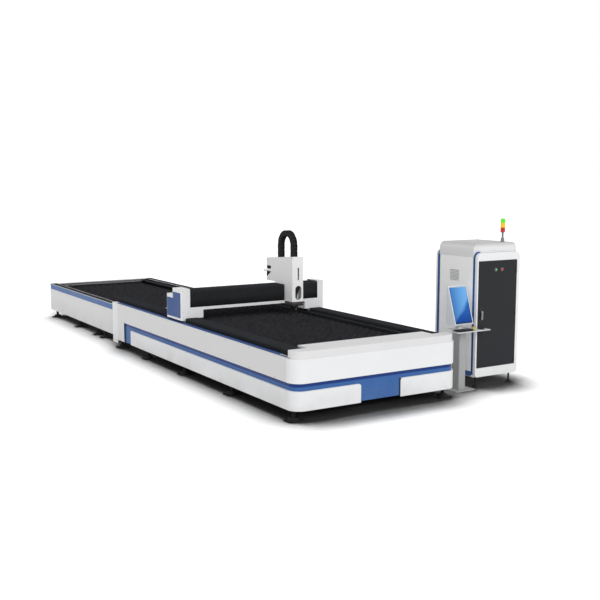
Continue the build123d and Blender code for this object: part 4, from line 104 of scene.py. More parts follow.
def mix(tree, share, first, second):
    """A colour between two others, which are outputs or three numbers."""
    first, second = (
        colour if isinstance(colour, bpy.types.NodeSocket) else tuple(colour) + (1.0,)
        for colour in (first, second)
    )
    return node(tree, "ShaderNodeMix", {0: share, 6: first, 7: second}, data_type="RGBA").outputs[2]


def noise(tree, where, scale, detail, roughness=0.5):
    inputs = {"Vector": where, "Scale": scale, "Detail": detail, "Roughness": roughness}
    return node(tree, "ShaderNodeTexNoise", inputs).outputs["Fac"]


def looked_at(tree):
    """1 for rays that show a thing to the camera, also in a mirror or through glass."""
    path = node(tree, "ShaderNodeLightPath").outputs
    seen = maths(tree, "ADD", path["Is Camera Ray"], path["Is Glossy Ray"])
    return maths(tree, "ADD", seen, path["Is Transmission Ray"], clamp=True)


MATERIALS = {}


def new_material(name):
    """Adds an empty material to MATERIALS and gives its node tree."""
    made = bpy.data.materials.new(name)
    made.use_nodes = True
    made.node_tree.nodes.clear()
    MATERIALS[name] = made
    return made.node_tree


# The sky lights the part softly, less from above, and is plain white behind it.
world = bpy.data.worlds.new("studio")
scene.world = world
world.use_nodes = True
tree = world.node_tree
tree.nodes.clear()
toward = node(tree, "ShaderNodeTexCoord").outputs["Generated"]
height = node(tree, "ShaderNodeSeparateXYZ", {0: toward}).outputs["Z"]
level = remap(tree, height, 0.0, 1.0, SKY_HORIZON, SKY_TOP)
dim = node(tree, "ShaderNodeBackground", {"Color": (1, 1, 1, 1), "Strength": level}).outputs[0]
bright = node(tree, "ShaderNodeBackground", {"Color": (1, 1, 1, 1), "Strength": 1.0}).outputs[0]
mixed = node(tree, "ShaderNodeMixShader", {0: looked_at(tree), 1: dim, 2: bright}).outputs[0]
node(tree, "ShaderNodeOutputWorld", {"Surface": mixed})

sun_data = bpy.data.lights.new("key", "SUN")
sun_data.energy = SUN_STRENGTH
sun_data.angle = math.radians(SUN_ANGLE)
sun = bpy.data.objects.new("key", sun_data)
sun.rotation_euler = Vector(SUN_FROM).to_track_quat("Z", "Y").to_euler()
scene.collection.objects.link(sun)

# The floor is white, and darker only close to the part, where less of it is open.
floor_mesh = bpy.data.meshes.new("floor")
floor_corners = [(-1, -1, 0), (1, -1, 0), (1, 1, 0), (-1, 1, 0)]
floor_mesh.from_pydata([Vector(c) * FLOOR_REACH for c in floor_corners], [], [(0, 1, 2, 3)])
floor = bpy.data.objects.new("floor", floor_mesh)
scene.collection.objects.link(floor)
tree = new_material("floor")
lean = node(tree, "ShaderNodeCombineXYZ", dict(enumerate(SHADE_LEAN))).outputs[0]
near = {"Distance": SHADE_REACH, "Normal": lean}
near = node(tree, "ShaderNodeAmbientOcclusion", near, samples=12).outputs["AO"]
near = remap(tree, near, *SHADE_OPEN, *SHADE_TONE)
painted_shading = node(tree, "ShaderNodeMix", {0: looked_at(tree), 2: FLOOR_PLAIN, 3: near}).outputs[0]
painted_shading = node(tree, "ShaderNodeCombineColor", {0: painted_shading, 1: painted_shading, 2: painted_shading}).outputs[0]
plain = node(tree, "ShaderNodeBsdfDiffuse", {"Color": painted_shading, "Roughness": 0.0})
node(tree, "ShaderNodeOutputMaterial", {"Surface": plain.outputs[0]})
floor_mesh.materials.append(MATERIALS["floor"])

# ---------------------------------------------------------------- materials
# The share of each noise, or of the turn of an edge, that is stretched over 0 to 1.
CLOUD_RANGE, SPECK_RANGE = (0.3, 0.7), (0.55, 0.75)
SCUFF_RANGE, EDGE_RANGE = (0.48, 0.62), (0.985, 0.9)
PATCH_DETAIL, PATCH_ROUGHNESS, GRAIN_DETAIL = 5.0, 0.6, 2.0
SPECK_TONE, GLOSS_SPREAD, COAT_ROUGHNESS = 0.35, 0.08, 0.12
SCUFF_SCALE, SCUFF_DETAIL, WEAR = 38.0, 6.0, 0.55
DUST_HEIGHTS = (0.42, 0.12)
SCREEN_ACROSS, SCREEN_UP = (1.39, 1.66), (0.86, 1.31)
SCREEN_WAVE, SCREEN_SLANT, SCREEN_BAND, SCREEN_BAR = 0.35, 0.55, (-0.16, -0.02), 0.045


def srgb(red, green, blue):
    def line(value):
        value /= 255
        return value / 12.92 if value <= 0.04045 else ((value + 0.055) / 1.055) ** 2.4

    return (line(red), line(green), line(blue))


DUST = srgb(150, 146, 140)
NAVY, NAVY_WORN = (0.042, 0.13, 0.36), (0.16, 0.27, 0.55)


def scaled(colour, share):
    return tuple(min(1.0, part * share) for part in colour)


def surface(tree, inputs):
    skin = node(tree, "ShaderNodeBsdfPrincipled", inputs)
    node(tree, "ShaderNodeOutputMaterial", {"Surface": skin.outputs[0]})


def finish(
    name, colour, rough, metal=0.0, spread=0.06, patch=2.5, grain=620, bump=0.1, specular=0.5,
    coat=0.0, edge=0.0, worn=None, stretch=(1, 1, 1), dust=0.0, painted_shading=None, speck=0.0, emit=0.0,
    deep=0.0004,
):
    """A painted, moulded or metal surface: cloudy colour, fine grain, uneven gloss, soft and worn
    edges, and dust low down. Painted shading (start, end, colour) sets in between two heights."""
    tree = new_material(name)
    where = node(tree, "ShaderNodeTexCoord").outputs["Object"]
    height = node(tree, "ShaderNodeSeparateXYZ", {0: where}).outputs["Z"]
    turned = node(tree, "ShaderNodeMapping", {"Vector": where, "Scale": stretch}).outputs[0]
    cloud = noise(tree, turned, patch, PATCH_DETAIL, PATCH_ROUGHNESS)
    cloud = remap(tree, cloud, *CLOUD_RANGE)
    fine = noise(tree, turned, grain, GRAIN_DETAIL)
    tint = mix(tree, cloud, scaled(colour, 1 - spread), scaled(colour, 1 + spread))
    if speck:
        spots = remap(tree, fine, *SPECK_RANGE, 0.0, speck)
        tint = mix(tree, spots, tint, scaled(colour, SPECK_TONE))
    relief = {"Strength": bump, "Distance": deep, "Height": fine}
    if edge:
        soft = node(tree, "ShaderNodeBevel", {"Radius": edge}, samples=4).outputs[0]
        relief["Normal"] = soft
    if edge and worn:
        flat = node(tree, "ShaderNodeNewGeometry").outputs["Normal"]
        turn = node(tree, "ShaderNodeVectorMath", {0: soft, 1: flat}, operation="DOT_PRODUCT")
        rim = remap(tree, turn.outputs["Value"], *EDGE_RANGE)
        scuff = remap(tree, noise(tree, where, SCUFF_SCALE, SCUFF_DETAIL), *SCUFF_RANGE)
        rim = maths(tree, "MULTIPLY", maths(tree, "MULTIPLY", rim, scuff), WEAR)
        tint = mix(tree, rim, tint, worn)
    if dust:
        low = maths(tree, "MULTIPLY", remap(tree, height, *DUST_HEIGHTS), cloud)
        tint = mix(tree, maths(tree, "MULTIPLY", low, dust), tint, DUST)
    # Painted shading: another colour past a height, standing in for shade and light there.
    if painted_shading:
        start, end, other = painted_shading
        tint = mix(tree, remap(tree, height, start, end), tint, other)
    glossy, dull = max(0.05, rough - GLOSS_SPREAD), min(1.0, rough + GLOSS_SPREAD)
    inputs = {
        "Base Color": tint,
        "Roughness": remap(tree, cloud, 0.0, 1.0, glossy, dull),
        "Metallic": metal,
        "Specular IOR Level": specular,
        "Coat Weight": coat,
        "Coat Roughness": COAT_ROUGHNESS,
        "Normal": node(tree, "ShaderNodeBump", relief).outputs[0],
    }
    if emit:
        inputs.update({"Emission Color": tint, "Emission Strength": emit})
    surface(tree, inputs)


# The looks of the record's material slots.
finish("white_paint", srgb(238, 239, 240), 0.42, spread=0.012, specular=0.4, edge=0.003,
       worn=srgb(196, 198, 202), dust=0.35)
finish("grey_paint", srgb(226, 225, 225), 0.45, spread=0.02, edge=0.003,
       worn=srgb(190, 192, 196), dust=0.35)
finish("light_grey_paint", srgb(228, 228, 229), 0.45, spread=0.015, specular=0.3, edge=0.003,
       worn=srgb(180, 182, 186))
finish("blue_paint", NAVY, 0.45, spread=0.07, bump=0.12, specular=0.3, edge=0.002,
       worn=NAVY_WORN, dust=0.12)
finish("frame_paint", srgb(52, 54, 58), 0.55, spread=0.15, patch=4, grain=350, bump=0.2,
       specular=0.25, edge=0.003, worn=srgb(110, 112, 116), dust=0.3)
finish("black_paint", srgb(40, 41, 44), 0.8, spread=0.2, patch=5, grain=350, bump=0.2,
       specular=0.06, edge=0.002, worn=srgb(70, 72, 76))
finish("door_paint", srgb(39, 41, 44), 0.55, grain=900, bump=0.25, specular=0.15, edge=0.002,
       worn=srgb(96, 98, 102))
finish("bellows_cloth", srgb(48, 49, 52), 0.85, spread=0.12, patch=3, grain=1100, bump=0.35,
       specular=0.08, deep=0.0006)
finish("rail_steel", srgb(168, 171, 176), 0.3, 1.0, patch=9, grain=260, bump=0.06,
       stretch=(1, 0.06, 1), edge=0.001, worn=srgb(215, 216, 220))
finish("slat_steel", srgb(57, 57, 61), 0.8, 0.2, spread=0.35, patch=14, grain=240, bump=0.5,
       specular=0.12, speck=0.5, deep=0.001)
finish("zinc_steel", srgb(165, 167, 168), 0.42, 0.9, spread=0.12, patch=24, grain=160,
       edge=0.001, worn=srgb(205, 206, 208))
finish("motor_black", srgb(33, 34, 36), 0.5, spread=0.1, grain=700, bump=0.2, specular=0.35,
       edge=0.0015, worn=srgb(90, 91, 94))
finish("alloy", srgb(186, 188, 192), 0.38, 0.85, spread=0.05, patch=12, grain=420, bump=0.08,
       stretch=(1, 1, 0.15), edge=0.001, worn=srgb(220, 221, 224))
finish("nozzle_copper", srgb(132, 96, 74), 0.45, 1.0, spread=0.15, patch=60, grain=700,
       bump=0.05, speck=0.15)
finish("chain_plastic", srgb(40, 41, 42), 0.7, spread=0.08, patch=18, grain=900, bump=0.15,
       specular=0.1, edge=0.001, worn=srgb(60, 61, 64))
finish("source_grey", srgb(120, 123, 128), 0.42, 0.4, spread=0.05, grain=700, edge=0.002,
       worn=srgb(170, 172, 176))
for name, colour, glow in (
    ("lamp_red_plastic", srgb(196, 34, 12), 0.12),
    ("lamp_yellow_plastic", srgb(244, 196, 36), 0.15),
    ("lamp_green_plastic", srgb(96, 214, 40), 0.35),
):
    finish(name, colour, 0.18, spread=0.1, patch=30, grain=300, coat=0.4, emit=glow)
# The stand turns darker below the tray: painted shade under the tray.
finish("stand_paint", srgb(214, 215, 216), 0.42, spread=0.02, edge=0.002,
       worn=srgb(165, 167, 170), dust=0.3, painted_shading=(0.776, 0.768, srgb(164, 165, 165)))
finish("keyboard_plastic", srgb(34, 35, 38), 0.5, spread=0.08, patch=20, grain=1400, bump=0.25,
       specular=0.35)
finish("monitor_paint", srgb(228, 234, 241), 0.35, spread=0.012, patch=6, grain=900,
       edge=0.002, worn=srgb(200, 202, 205))
finish("handle_black", srgb(150, 152, 156), 0.32, 0.9, spread=0.08, patch=30, grain=500,
       bump=0.06, edge=0.001, worn=srgb(210, 211, 214))
# The buttons glow faintly: painted light.
finish("button_green", srgb(30, 158, 62), 0.25, patch=40, grain=900, bump=0.05, coat=0.3,
       emit=0.05)
finish("button_red", srgb(192, 24, 28), 0.28, patch=40, grain=900, bump=0.05, coat=0.3,
       emit=0.03)

# Looks that only the scene has.
finish("yellow_plastic", srgb(178, 184, 108), 0.35, spread=0.05, patch=30, grain=900)
# The recessed band turns navy towards its top: painted shade under the overhanging side panels.
finish("recess_blue_painted_shade", NAVY, 0.45, spread=0.07, bump=0.12, specular=0.2, dust=0.12,
       painted_shading=(0.397, 0.409, srgb(24, 56, 122)))
# The laser head is dark grey low down and light grey higher up: painted shade below the cover and
# painted light behind the window.
finish("head_alloy", srgb(88, 88, 92), 0.45, 0.6, patch=20, grain=500, edge=0.001,
       worn=srgb(150, 150, 154), painted_shading=(0.93, 0.96, srgb(196, 197, 200)))
# White covers with a faint glow: painted light that brightens their shaded sides.
finish("cover_white", srgb(248, 248, 248), 0.42, spread=0.01, specular=0.4, edge=0.003,
       worn=srgb(200, 202, 206), emit=0.04)
# The hood turns grey on its top: painted shade on the upper faces.
finish("cabinet_hood_paint", srgb(232, 232, 232), 0.45, spread=0.012, specular=0.3, edge=0.004,
       worn=srgb(196, 198, 202), painted_shading=(1.8, 1.85, srgb(196, 196, 196)))
finish("cabinet_blue", (0.03, 0.085, 0.27), 0.45, spread=0.07, bump=0.12, specular=0.2)
# The brush skirt turns darker towards the bristle tips: painted shade under the head cover.
finish("skirt_grey", srgb(104, 98, 98), 0.85, spread=0.15, patch=40, grain=700, bump=0.3,
       specular=0.08, painted_shading=(0.915, 0.88, srgb(70, 64, 64)))
finish("edge_grey", srgb(122, 123, 126), 0.5, spread=0.08, patch=20, grain=700)
finish("grille_grey", srgb(172, 173, 174), 0.5, spread=0.05, patch=20, grain=700, edge=0.001,
       worn=srgb(130, 132, 134))
finish("key_grey", srgb(46, 47, 50), 0.45, spread=0.1, patch=60, grain=1400, bump=0.2,
       specular=0.3)
# The pale spot on the green button: a painted glint.
finish("lens_white", srgb(206, 240, 214), 0.2, spread=0.05, patch=60, grain=900, bump=0.05,
       coat=0.3, emit=0.2)
finish("rubber", srgb(28, 28, 30), 0.7, spread=0.15, patch=12, grain=800, bump=0.3,
       specular=0.2)


def screen_finish():
    """The lit face of the monitor: a blue ground, lighter along a slanting band."""
    tree = new_material("screen_face")
    where = node(tree, "ShaderNodeTexCoord").outputs["Object"]
    part = node(tree, "ShaderNodeSeparateXYZ", {0: where}).outputs
    across = remap(tree, part["X"], *SCREEN_ACROSS)
    up = remap(tree, part["Z"], *SCREEN_UP)
    wave = maths(tree, "MULTIPLY", noise(tree, where, 3.2, 1.0), SCREEN_WAVE)
    slant = maths(tree, "ADD", maths(tree, "MULTIPLY", across, SCREEN_SLANT), wave)
    band = remap(tree, maths(tree, "SUBTRACT", up, slant), *SCREEN_BAND)
    upper = mix(tree, across, srgb(52, 112, 178), srgb(116, 180, 238))
    lower = mix(tree, up, srgb(0, 56, 146), srgb(50, 126, 204))
    bar = maths(tree, "LESS_THAN", up, SCREEN_BAR)
    tint = mix(tree, bar, mix(tree, band, lower, upper), srgb(20, 52, 110))
    surface(tree, {
        "Base Color": tint,
        "Roughness": remap(tree, noise(tree, where, 14.0, 5.0), 0.0, 1.0, 0.08, 0.24),
        "Specular IOR Level": 0.16,
        "Emission Color": tint,
        "Emission Strength": 0.12,
    })


screen_finish()

# Solids whose look differs from the one that their slot has elsewhere.
NODE_LOOKS = {
    "recess_panels": "recess_blue_painted_shade",
    # The feet take the dark rubber look: painted shade under the machine.
    "levelling_feet": "rubber",
    "gantry_side_plates": "cabinet_blue",
    "laser_head": "head_alloy",
    "head_cover": "cover_white",
    "front_top_cover": "light_grey_paint",
    "cabinet_shell": "cover_white",
}
for part in frame["record"]["subparts"]:
    shown = NODES[part["node"]]
    shown.data.materials.clear()
    shown.data.materials.append(MATERIALS[NODE_LOOKS.get(part["node"], part["material_slot"])])

# ---------------------------------------------------------------- mesh helpers, in millimetres
ORDER = {"x": (0, 1, 2), "y": (1, 0, 2), "z": (2, 0, 1)}
BOX_FACES = (0, 2, 3, 1), (4, 5, 7, 6), (0, 1, 5, 4), (2, 6, 7, 3), (0, 4, 6, 2), (1, 3, 7, 5)


def place(name, bm, slots, body, bevel=0.0, angle=35):
    """Turns a mesh built in millimetres into a piece that moves with a body."""
    if isinstance(slots, str):
        slots = [slots]
    bmesh.ops.scale(bm, vec=(MM, MM, MM), verts=bm.verts)
    bmesh.ops.recalc_face_normals(bm, faces=bm.faces)
    mesh = bpy.data.meshes.new(name)
    bm.to_mesh(mesh)
    bm.free()
    for slot in slots:
        mesh.materials.append(MATERIALS[slot])
    mesh.shade_smooth()
    mesh.set_sharp_from_angle(angle=math.radians(angle))
    piece = bpy.data.objects.new(name, mesh)
    scene.collection.objects.link(piece)
    if bevel:
        cut = piece.modifiers.new("edges", "BEVEL")
        cut.width = bevel * MM
        cut.segments = 2
        cut.limit_method = "ANGLE"
        cut.angle_limit = math.radians(angle)
        cut.harden_normals = True
    if body:
        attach(piece, body)
    return piece


def box(bm, x0, x1, y0, y1, z0, z1):
    corners = [(x, y, z) for z in (z0, z1) for y in (y0, y1) for x in (x0, x1)]
    verts = [bm.verts.new(corner) for corner in corners]
    for ring in BOX_FACES:
        bm.faces.new([verts[i] for i in ring])


def side_box(bm, side, near, far, *rest):
    """A box at near to far from the middle of the machine, on the side -1 or 1."""
    x0, x1 = sorted((side * near, side * far))
    box(bm, x0, x1, *rest)


def join(bm, first, second, slot=0):
    """The faces between two closed loops with the same number of points."""
    for i in range(len(first)):
        j = (i + 1) % len(first)
        bm.faces.new([first[i], first[j], second[j], second[i]]).material_index = slot


def solid(bm, first, second, slot=0):
    """Two closed loops, each filled, with faces between them."""
    bm.faces.new(first).material_index = slot
    bm.faces.new(second[::-1]).material_index = slot
    join(bm, first, second, slot)


def loop_at(bm, outline, direction, value):
    """An outline laid across a direction, at one place along it."""
    along, first, second = ORDER[direction]
    loop = []
    for a, b in outline:
        point = [0, 0, 0]
        point[along], point[first], point[second] = value, a, b
        loop.append(bm.verts.new(point))
    return loop


def prism(bm, outline, direction, low, high, slot=0):
    """Draws an outline, in the plane across a direction, out from one place to another."""
    first, second = (loop_at(bm, outline, direction, value) for value in (low, high))
    solid(bm, first, second, slot)


def ring_prism(bm, outer, inner, direction, low, high, inside=0):
    """A closed band between two outlines with the same number of points. Its inner faces can
    have a slot of their own."""
    loops = [
        loop_at(bm, outline, direction, value)
        for outline in (outer, inner) for value in (low, high)
    ]
    for first, second in ((0, 1), (1, 3), (3, 2), (2, 0)):
        join(bm, loops[first], loops[second], inside if first == 3 else 0)


def arch(x0, x1, z0, z1, top, foot, steps=8):
    """The outline of a rectangle with one corner radius at the top and another at the foot."""
    points = []
    for cx, cz, radius, start in (
        (x1 - foot, z0 + foot, foot, -90), (x1 - top, z1 - top, top, 0),
        (x0 + top, z1 - top, top, 90), (x0 + foot, z0 + foot, foot, 180),
    ):
        for i in range(steps + 1):
            angle = math.radians(start + 90 * i / steps)
            points.append((cx + radius * math.cos(angle), cz + radius * math.sin(angle)))
    return points


def rounded(x0, x1, y0, y1, radius, steps=6):
    """The outline of a rectangle with round corners."""
    return arch(x0, x1, y0, y1, radius, radius, steps)


def circle(bm, centre, side, other, radius, count):
    ring = []
    for i in range(count):
        angle = 2 * math.pi * i / count
        spot = centre + side * radius * math.cos(angle) + other * radius * math.sin(angle)
        ring.append(bm.verts.new(spot))
    return ring


def lathe(bm, origin, axis, profile, count=24):
    """Turns (radius, height) points about an axis. Ends on the axis are closed to a point."""
    axis = Vector(axis).normalized()
    side = axis.orthogonal() if abs(axis.z) >= 0.9 else Vector((0, 0, 1)).cross(axis)
    side = side.normalized()
    rings = []
    for radius, height in profile:
        centre = Vector(origin) + axis * height
        if radius:
            rings.append(circle(bm, centre, side, axis.cross(side), radius, count))
        else:
            rings.append([bm.verts.new(centre)])
    for low, high in zip(rings, rings[1:]):
        for i in range(count):
            j = (i + 1) % count
            ring = [low[i % len(low)], low[j % len(low)], high[j % len(high)], high[i % len(high)]]
            ring = [v for k, v in enumerate(ring) if v not in ring[:k]]
            if len(ring) > 2:
                bm.faces.new(ring)


def bolt(bm, origin, axis, radius):
    """A button head with a six-sided socket."""
    head = [(radius * r, radius * h) for r, h in ((1, 0.22), (0.82, 0.48), (0.5, 0.58))]
    socket = [(radius * r, radius * h) for r, h in ((0.5, 0.58), (0.42, 0.1), (0, 0.1))]
    lathe(bm, origin, axis, [(radius, -1)] + head, 12)
    lathe(bm, origin, axis, socket, 6)


def hose(bm, points, radius, count):
    """A round hose along points."""
    rings = []
    side = None
    for i, point in enumerate(points):
        along = (points[min(i + 1, len(points) - 1)] - points[max(i - 1, 0)]).normalized()
        if side is None:
            side = along.orthogonal().normalized()
        side = (side - along * side.dot(along)).normalized()
        rings.append(circle(bm, point, side, along.cross(side), radius, count))
    for low, high in zip(rings, rings[1:]):
        join(bm, low, high)
    bm.faces.new(rings[0][::-1])
    bm.faces.new(rings[-1])


# ---------------------------------------------------------------- folding covers
# Each cover is cut into seven sections, whose ends lie at these weights between its fixed
# and its moving end.
WEIGHTS = (0.01, 0.05, 0.15, 0.3, 0.7, 0.85, 0.95, 0.99)
# How far in a pleat goes at each quarter of it, and how far its outer fold is moved along.
PLEAT_DEPTHS = (1.0, 0.45, 0.0, 0.45)
PLEAT_SHIFT = 0.6
CLOTH_THICKNESS = 1.2


def unsmooth(value):
    """The distance at which an eased blend has reached a value."""
    return 0.5 - math.sin(math.asin(1 - 2 * value) / 3)


def bellows(name, replaced, profiles, inset, along, fixed, moving, pleat, fixed_body, moving_body):
    """A pleated cover between a fixed and a moving end. Each profile is a list of (a, b) points and
    their inward directions, across the travel."""

    def end_of(weight):
        return fixed + (weight - WEIGHTS[0]) / (WEIGHTS[-1] - WEIGHTS[0]) * (moving - fixed)

    for number, (w0, w1) in enumerate(zip(WEIGHTS, WEIGHTS[1:])):
        low, high = end_of(w0), end_of(w1)
        steps = 4 * max(2, round(abs(high - low) / pleat))
        bm = bmesh.new()
        for profile in profiles:
            rings = []
            for i in range(steps + 1):
                shift = PLEAT_SHIFT if i % 4 == 0 and 0 < i < steps else 0
                at = low + (high - low) * (i + shift) / steps
                share = PLEAT_DEPTHS[i % 4]
                ring = []
                for (a, b), (da, db) in profile:
                    point = [a + da * inset * share, b + db * inset * share]
                    point.insert("xyz".index(along), at)
                    ring.append(bm.verts.new(point))
                rings.append(ring)
            for first, second in zip(rings, rings[1:]):
                for k in range(len(first) - 1):
                    bm.faces.new([first[k], first[k + 1], second[k + 1], second[k]])
        piece = place(f"{name}_{number}", bm, "bellows_cloth", None, angle=12)
        thick = piece.modifiers.new("thickness", "SOLIDIFY")
        thick.thickness = CLOTH_THICKNESS * MM
        thick.offset = 0
        t0, t1 = unsmooth(w0), unsmooth(w1)
        reach = (high - low) / (t1 - t0)
        start = low - t0 * reach
        for value in (start, start + reach):
            point = [0.0, 0.0, 0.0]
            point["xyz".index(along)] = value * MM
        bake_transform(piece)
        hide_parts(replaced)


def bend(cx, cz, radius, *angles):
    """Points on a round corner, each with its inward direction."""
    points = []
    for angle in map(math.radians, angles):
        across, up = math.cos(angle), math.sin(angle)
        points.append(((cx + radius * across, cz + radius * up), (-across, -up)))
    return points


def hat(x0, x1, z0, z1, radius):
    """The cross-section of a long rail cover, with the inward direction at each point."""
    left, right, top = x0 + radius, x1 - radius, z1 - radius
    return [
        ((x0, z0), (1, 0)), ((x0, top), (1, 0)),
        *bend(left, top, radius, 157.5, 135, 112.5),
        ((left, z1), (0, -1)), (((x0 + x1) / 2, z1), (0, -1)), ((right, z1), (0, -1)),
        *bend(right, top, radius, 67.5, 45, 22.5),
        ((x1, top), (-1, 0)), ((x1, z0), (-1, 0)),
    ]


rails = [hat(900.5, 1089.5, 691, 789.5, 14), hat(-1089.5, -900.5, 691, 789.5, 14)]
rail_cover = dict(
    profiles=rails, inset=10, along="y", pleat=26, fixed_body="base", moving_body="gantry"
)
bellows("rail_cover_front", "y_bellows_front", fixed=-2624, moving=169, **rail_cover)
bellows("rail_cover_rear", "y_bellows_rear", fixed=2799, moving=661, **rail_cover)

front = [((180.5, z), (1, 0)) for z in (933, 1050, 1137)]
front += bend(208.5, 1136.5, 28, 165, 150, 135, 120, 105)
front += [((y, 1164.5), (0, -1)) for y in (208.5, 330, 452)]
beam_cover = dict(
    profiles=[front], inset=8, along="x", pleat=20, fixed_body="gantry", moving_body="carriage"
)
bellows("beam_cover_left", "x_bellows_left", fixed=-1014, moving=478, **beam_cover)
bellows("beam_cover_right", "x_bellows_right", fixed=1039, moving=655, **beam_cover)

# ---------------------------------------------------------------- cable chain over the head
CHAIN_X, CHAIN_HALF = 566.5, 39.0
CHAIN_FRONT, CHAIN_REAR, CHAIN_CENTRE_Z, CHAIN_RADIUS = 55.5, 413.0, 1721.25, 178.75
PITCH = 51.05
REAR_LEG, TOP_ARC = 4 * PITCH, math.pi * CHAIN_RADIUS
CHAIN_LENGTH = 12 * PITCH + TOP_ARC
LINKS = 23
LINK_ROUND, LINK_HEIGHT, LINK_SQUARENESS = 14, 37, 0.45
PLATE = 3.6
BAR_HALF, BAR_LEVEL = 32.5, 34
BAR = (-11, -3), (11, -3), (11, 1.5), (7, 3.4), (-7, 3.4), (-11, 1.5)
PIN = [(9, 0), (9, 1.2), (6.5, 1.5), (6, 0.8), (0, 0.8)]
HOSES = (-24, 6, 7), (24, -6, 7), (0, 0, 28)


def chain_point(s):
    """The place and direction at a length along the loop, from the foot of the rear leg."""
    if s < REAR_LEG:
        return Vector((0, CHAIN_REAR, CHAIN_CENTRE_Z - REAR_LEG + s)), Vector((0, 0, 1))
    if s < REAR_LEG + TOP_ARC:
        angle = (s - REAR_LEG) / CHAIN_RADIUS
        y = (CHAIN_FRONT + CHAIN_REAR) / 2 + CHAIN_RADIUS * math.cos(angle)
        z = CHAIN_CENTRE_Z + CHAIN_RADIUS * math.sin(angle)
        return Vector((0, y, z)), Vector((0, -math.sin(angle), math.cos(angle)))
    down = s - REAR_LEG - TOP_ARC
    return Vector((0, CHAIN_FRONT, CHAIN_CENTRE_Z - down)), Vector((0, 0, -1))


def at_x(x):
    return Vector((CHAIN_X + x, 0, 0))


bm = bmesh.new()
for i in range(LINKS):
    start, _ = chain_point(i * (CHAIN_LENGTH / LINKS))
    end, _ = chain_point((i + 1) * (CHAIN_LENGTH / LINKS))
    along = (end - start).normalized()
    across = along.cross(Vector((1, 0, 0)))
    outer = CHAIN_HALF - (0.5 if i % 2 else 2.5)
    for side in (-1, 1):
        outline = []
        for sign, centre in ((1, end), (-1, start)):
            for k in range(9):
                angle = math.radians(-90 + 180 * k / 8)
                level = math.copysign(abs(math.sin(angle)) ** LINK_SQUARENESS, angle)
                outline.append(
                    centre + along * sign * LINK_ROUND * math.cos(angle)
                    + across * sign * LINK_HEIGHT * level
                )
        loops = [
            [bm.verts.new(p + at_x(side * shift)) for p in outline]
            for shift in (outer - PLATE, outer)
        ]
        solid(bm, *loops)
        lathe(bm, start + at_x(side * (outer - 1)), (side, 0, 0), PIN, 16)
    for level in (-1, 1):
        centre = (start + end) / 2 + across * level * BAR_LEVEL
        corners = [centre + along * u + across * level * v for u, v in BAR]
        loops = [[bm.verts.new(p + at_x(x)) for p in corners] for x in (-BAR_HALF, BAR_HALF)]
        solid(bm, *loops)
for shift, depth, radius in HOSES:
    points = []
    for k in range(61):
        centre, along = chain_point(CHAIN_LENGTH * k / 60)
        points.append(centre + along.cross(Vector((1, 0, 0))) * depth + at_x(shift))
    hose(bm, points, radius, 8)
chain = place("cable_chain", bm, "chain_plastic", None, bevel=0.8)
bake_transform(chain)
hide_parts("z_chain")

# ---------------------------------------------------------------- bed, table and gantry trims
TRIM_OUTER, TRIM_FOOT, TRIM_TOP = 1163, 723.2, 732
SCREW_PITCH = 600

bm = bmesh.new()
for side in (-1, 1):
    side_box(bm, side, 1098, TRIM_OUTER, -2404, 2588, TRIM_FOOT, TRIM_TOP)
    side_box(bm, side, 1144, TRIM_OUTER, -2618, -2403, TRIM_FOOT, TRIM_TOP)
place("side_trims", bm, "cabinet_blue", "base", bevel=2)

# A thin dark grey strip round the foot of the cap: a painted shadow line at the step between the
# cap and the fascia.
bm = bmesh.new()
cap_outer = rounded(-1141, 1141, -2776, -2404, 124, 10)
cap_inner = rounded(-1136, 1136, -2771, -2409, 119, 10)
ring_prism(bm, cap_outer, cap_inner, "z", 715, 721.5)
place("cap_step_shadow", bm, "edge_grey", "base")

bm = bmesh.new()
for side in (-1, 1):
    side_box(bm, side, 1049, 1050.8, 2814, 6649, 624, 638)
place("table_stripe_edges", bm, "blue_paint", "base")
bm = bmesh.new()
for side in (-1, 1):
    side_box(bm, side, 936, 1045, 2815, 6626, 644.6, 645.8)
place("table_side_mats", bm, "black_paint", "base")
bm = bmesh.new()
box(bm, -1034, 1034, 6630, 6634, 560, 644.5)
place("table_rear_liner", bm, "light_grey_paint", "base", bevel=1)

bm = bmesh.new()
for side in (-1, 1):
    for face, count, start, heights in ((1165, 9, -2380, (706, 462)), (1050, 7, 2900, (532, 225))):
        for i in range(count):
            for z in heights:
                bolt(bm, (side * face, start + i * SCREW_PITCH, z), (side, 0, 0), 6)
place("panel_screws", bm, "zinc_steel", "base")

bm = bmesh.new()
for i in range(11):
    bolt(bm, (-760 + i * 118, 170, 910), (0, -1, 0), 3)
for x in (-1125, -1040, 1062, 1125):
    for z in (805, 870, 1160):
        bolt(bm, (x, 170, z), (0, -1, 0), 5)
for x in (-1110, -1050, 1080, 1115):
    for y in (230, 410):
        bolt(bm, (x, y, 1185), (0, 0, 1), 5)
place("gantry_screws", bm, "zinc_steel", "gantry")

# ---------------------------------------------------------------- head cover and laser head
WINDOW_X, WINDOW_TOP, WINDOW_FOOT = 575, 1105.5, 1004.5
SKIRT_FOOT, SKIRT_TOP = 872, 929
BRISTLES, BRISTLE_PITCH, BRISTLE_WIDTH = 58, 3, 1.6
SERVICE_FACE = (473.4, 475.4)
FITTING = [
    (0, -2), (15, -2), (15, 10), (12, 12), (12, 22), (18, 23), (18, 30), (16, 32), (16, 48),
    (13, 50), (0, 50),
]
COVER_SCREWS = (
    (-30, 945), (-30, 1550), (140, 1550), (140, 960), (240, 1200), (240, 1480), (660, 1200),
    (660, 1490),
)
HEAD_X, HEAD_Y = 575, 10

bm = bmesh.new()
for x0, x1 in ((475.2, 479), (654, 657.8)):
    box(bm, x0, x1, 166, 452, 1166.5, 1184)
place("head_cover_lips", bm, "cover_white", "carriage", bevel=0.8)

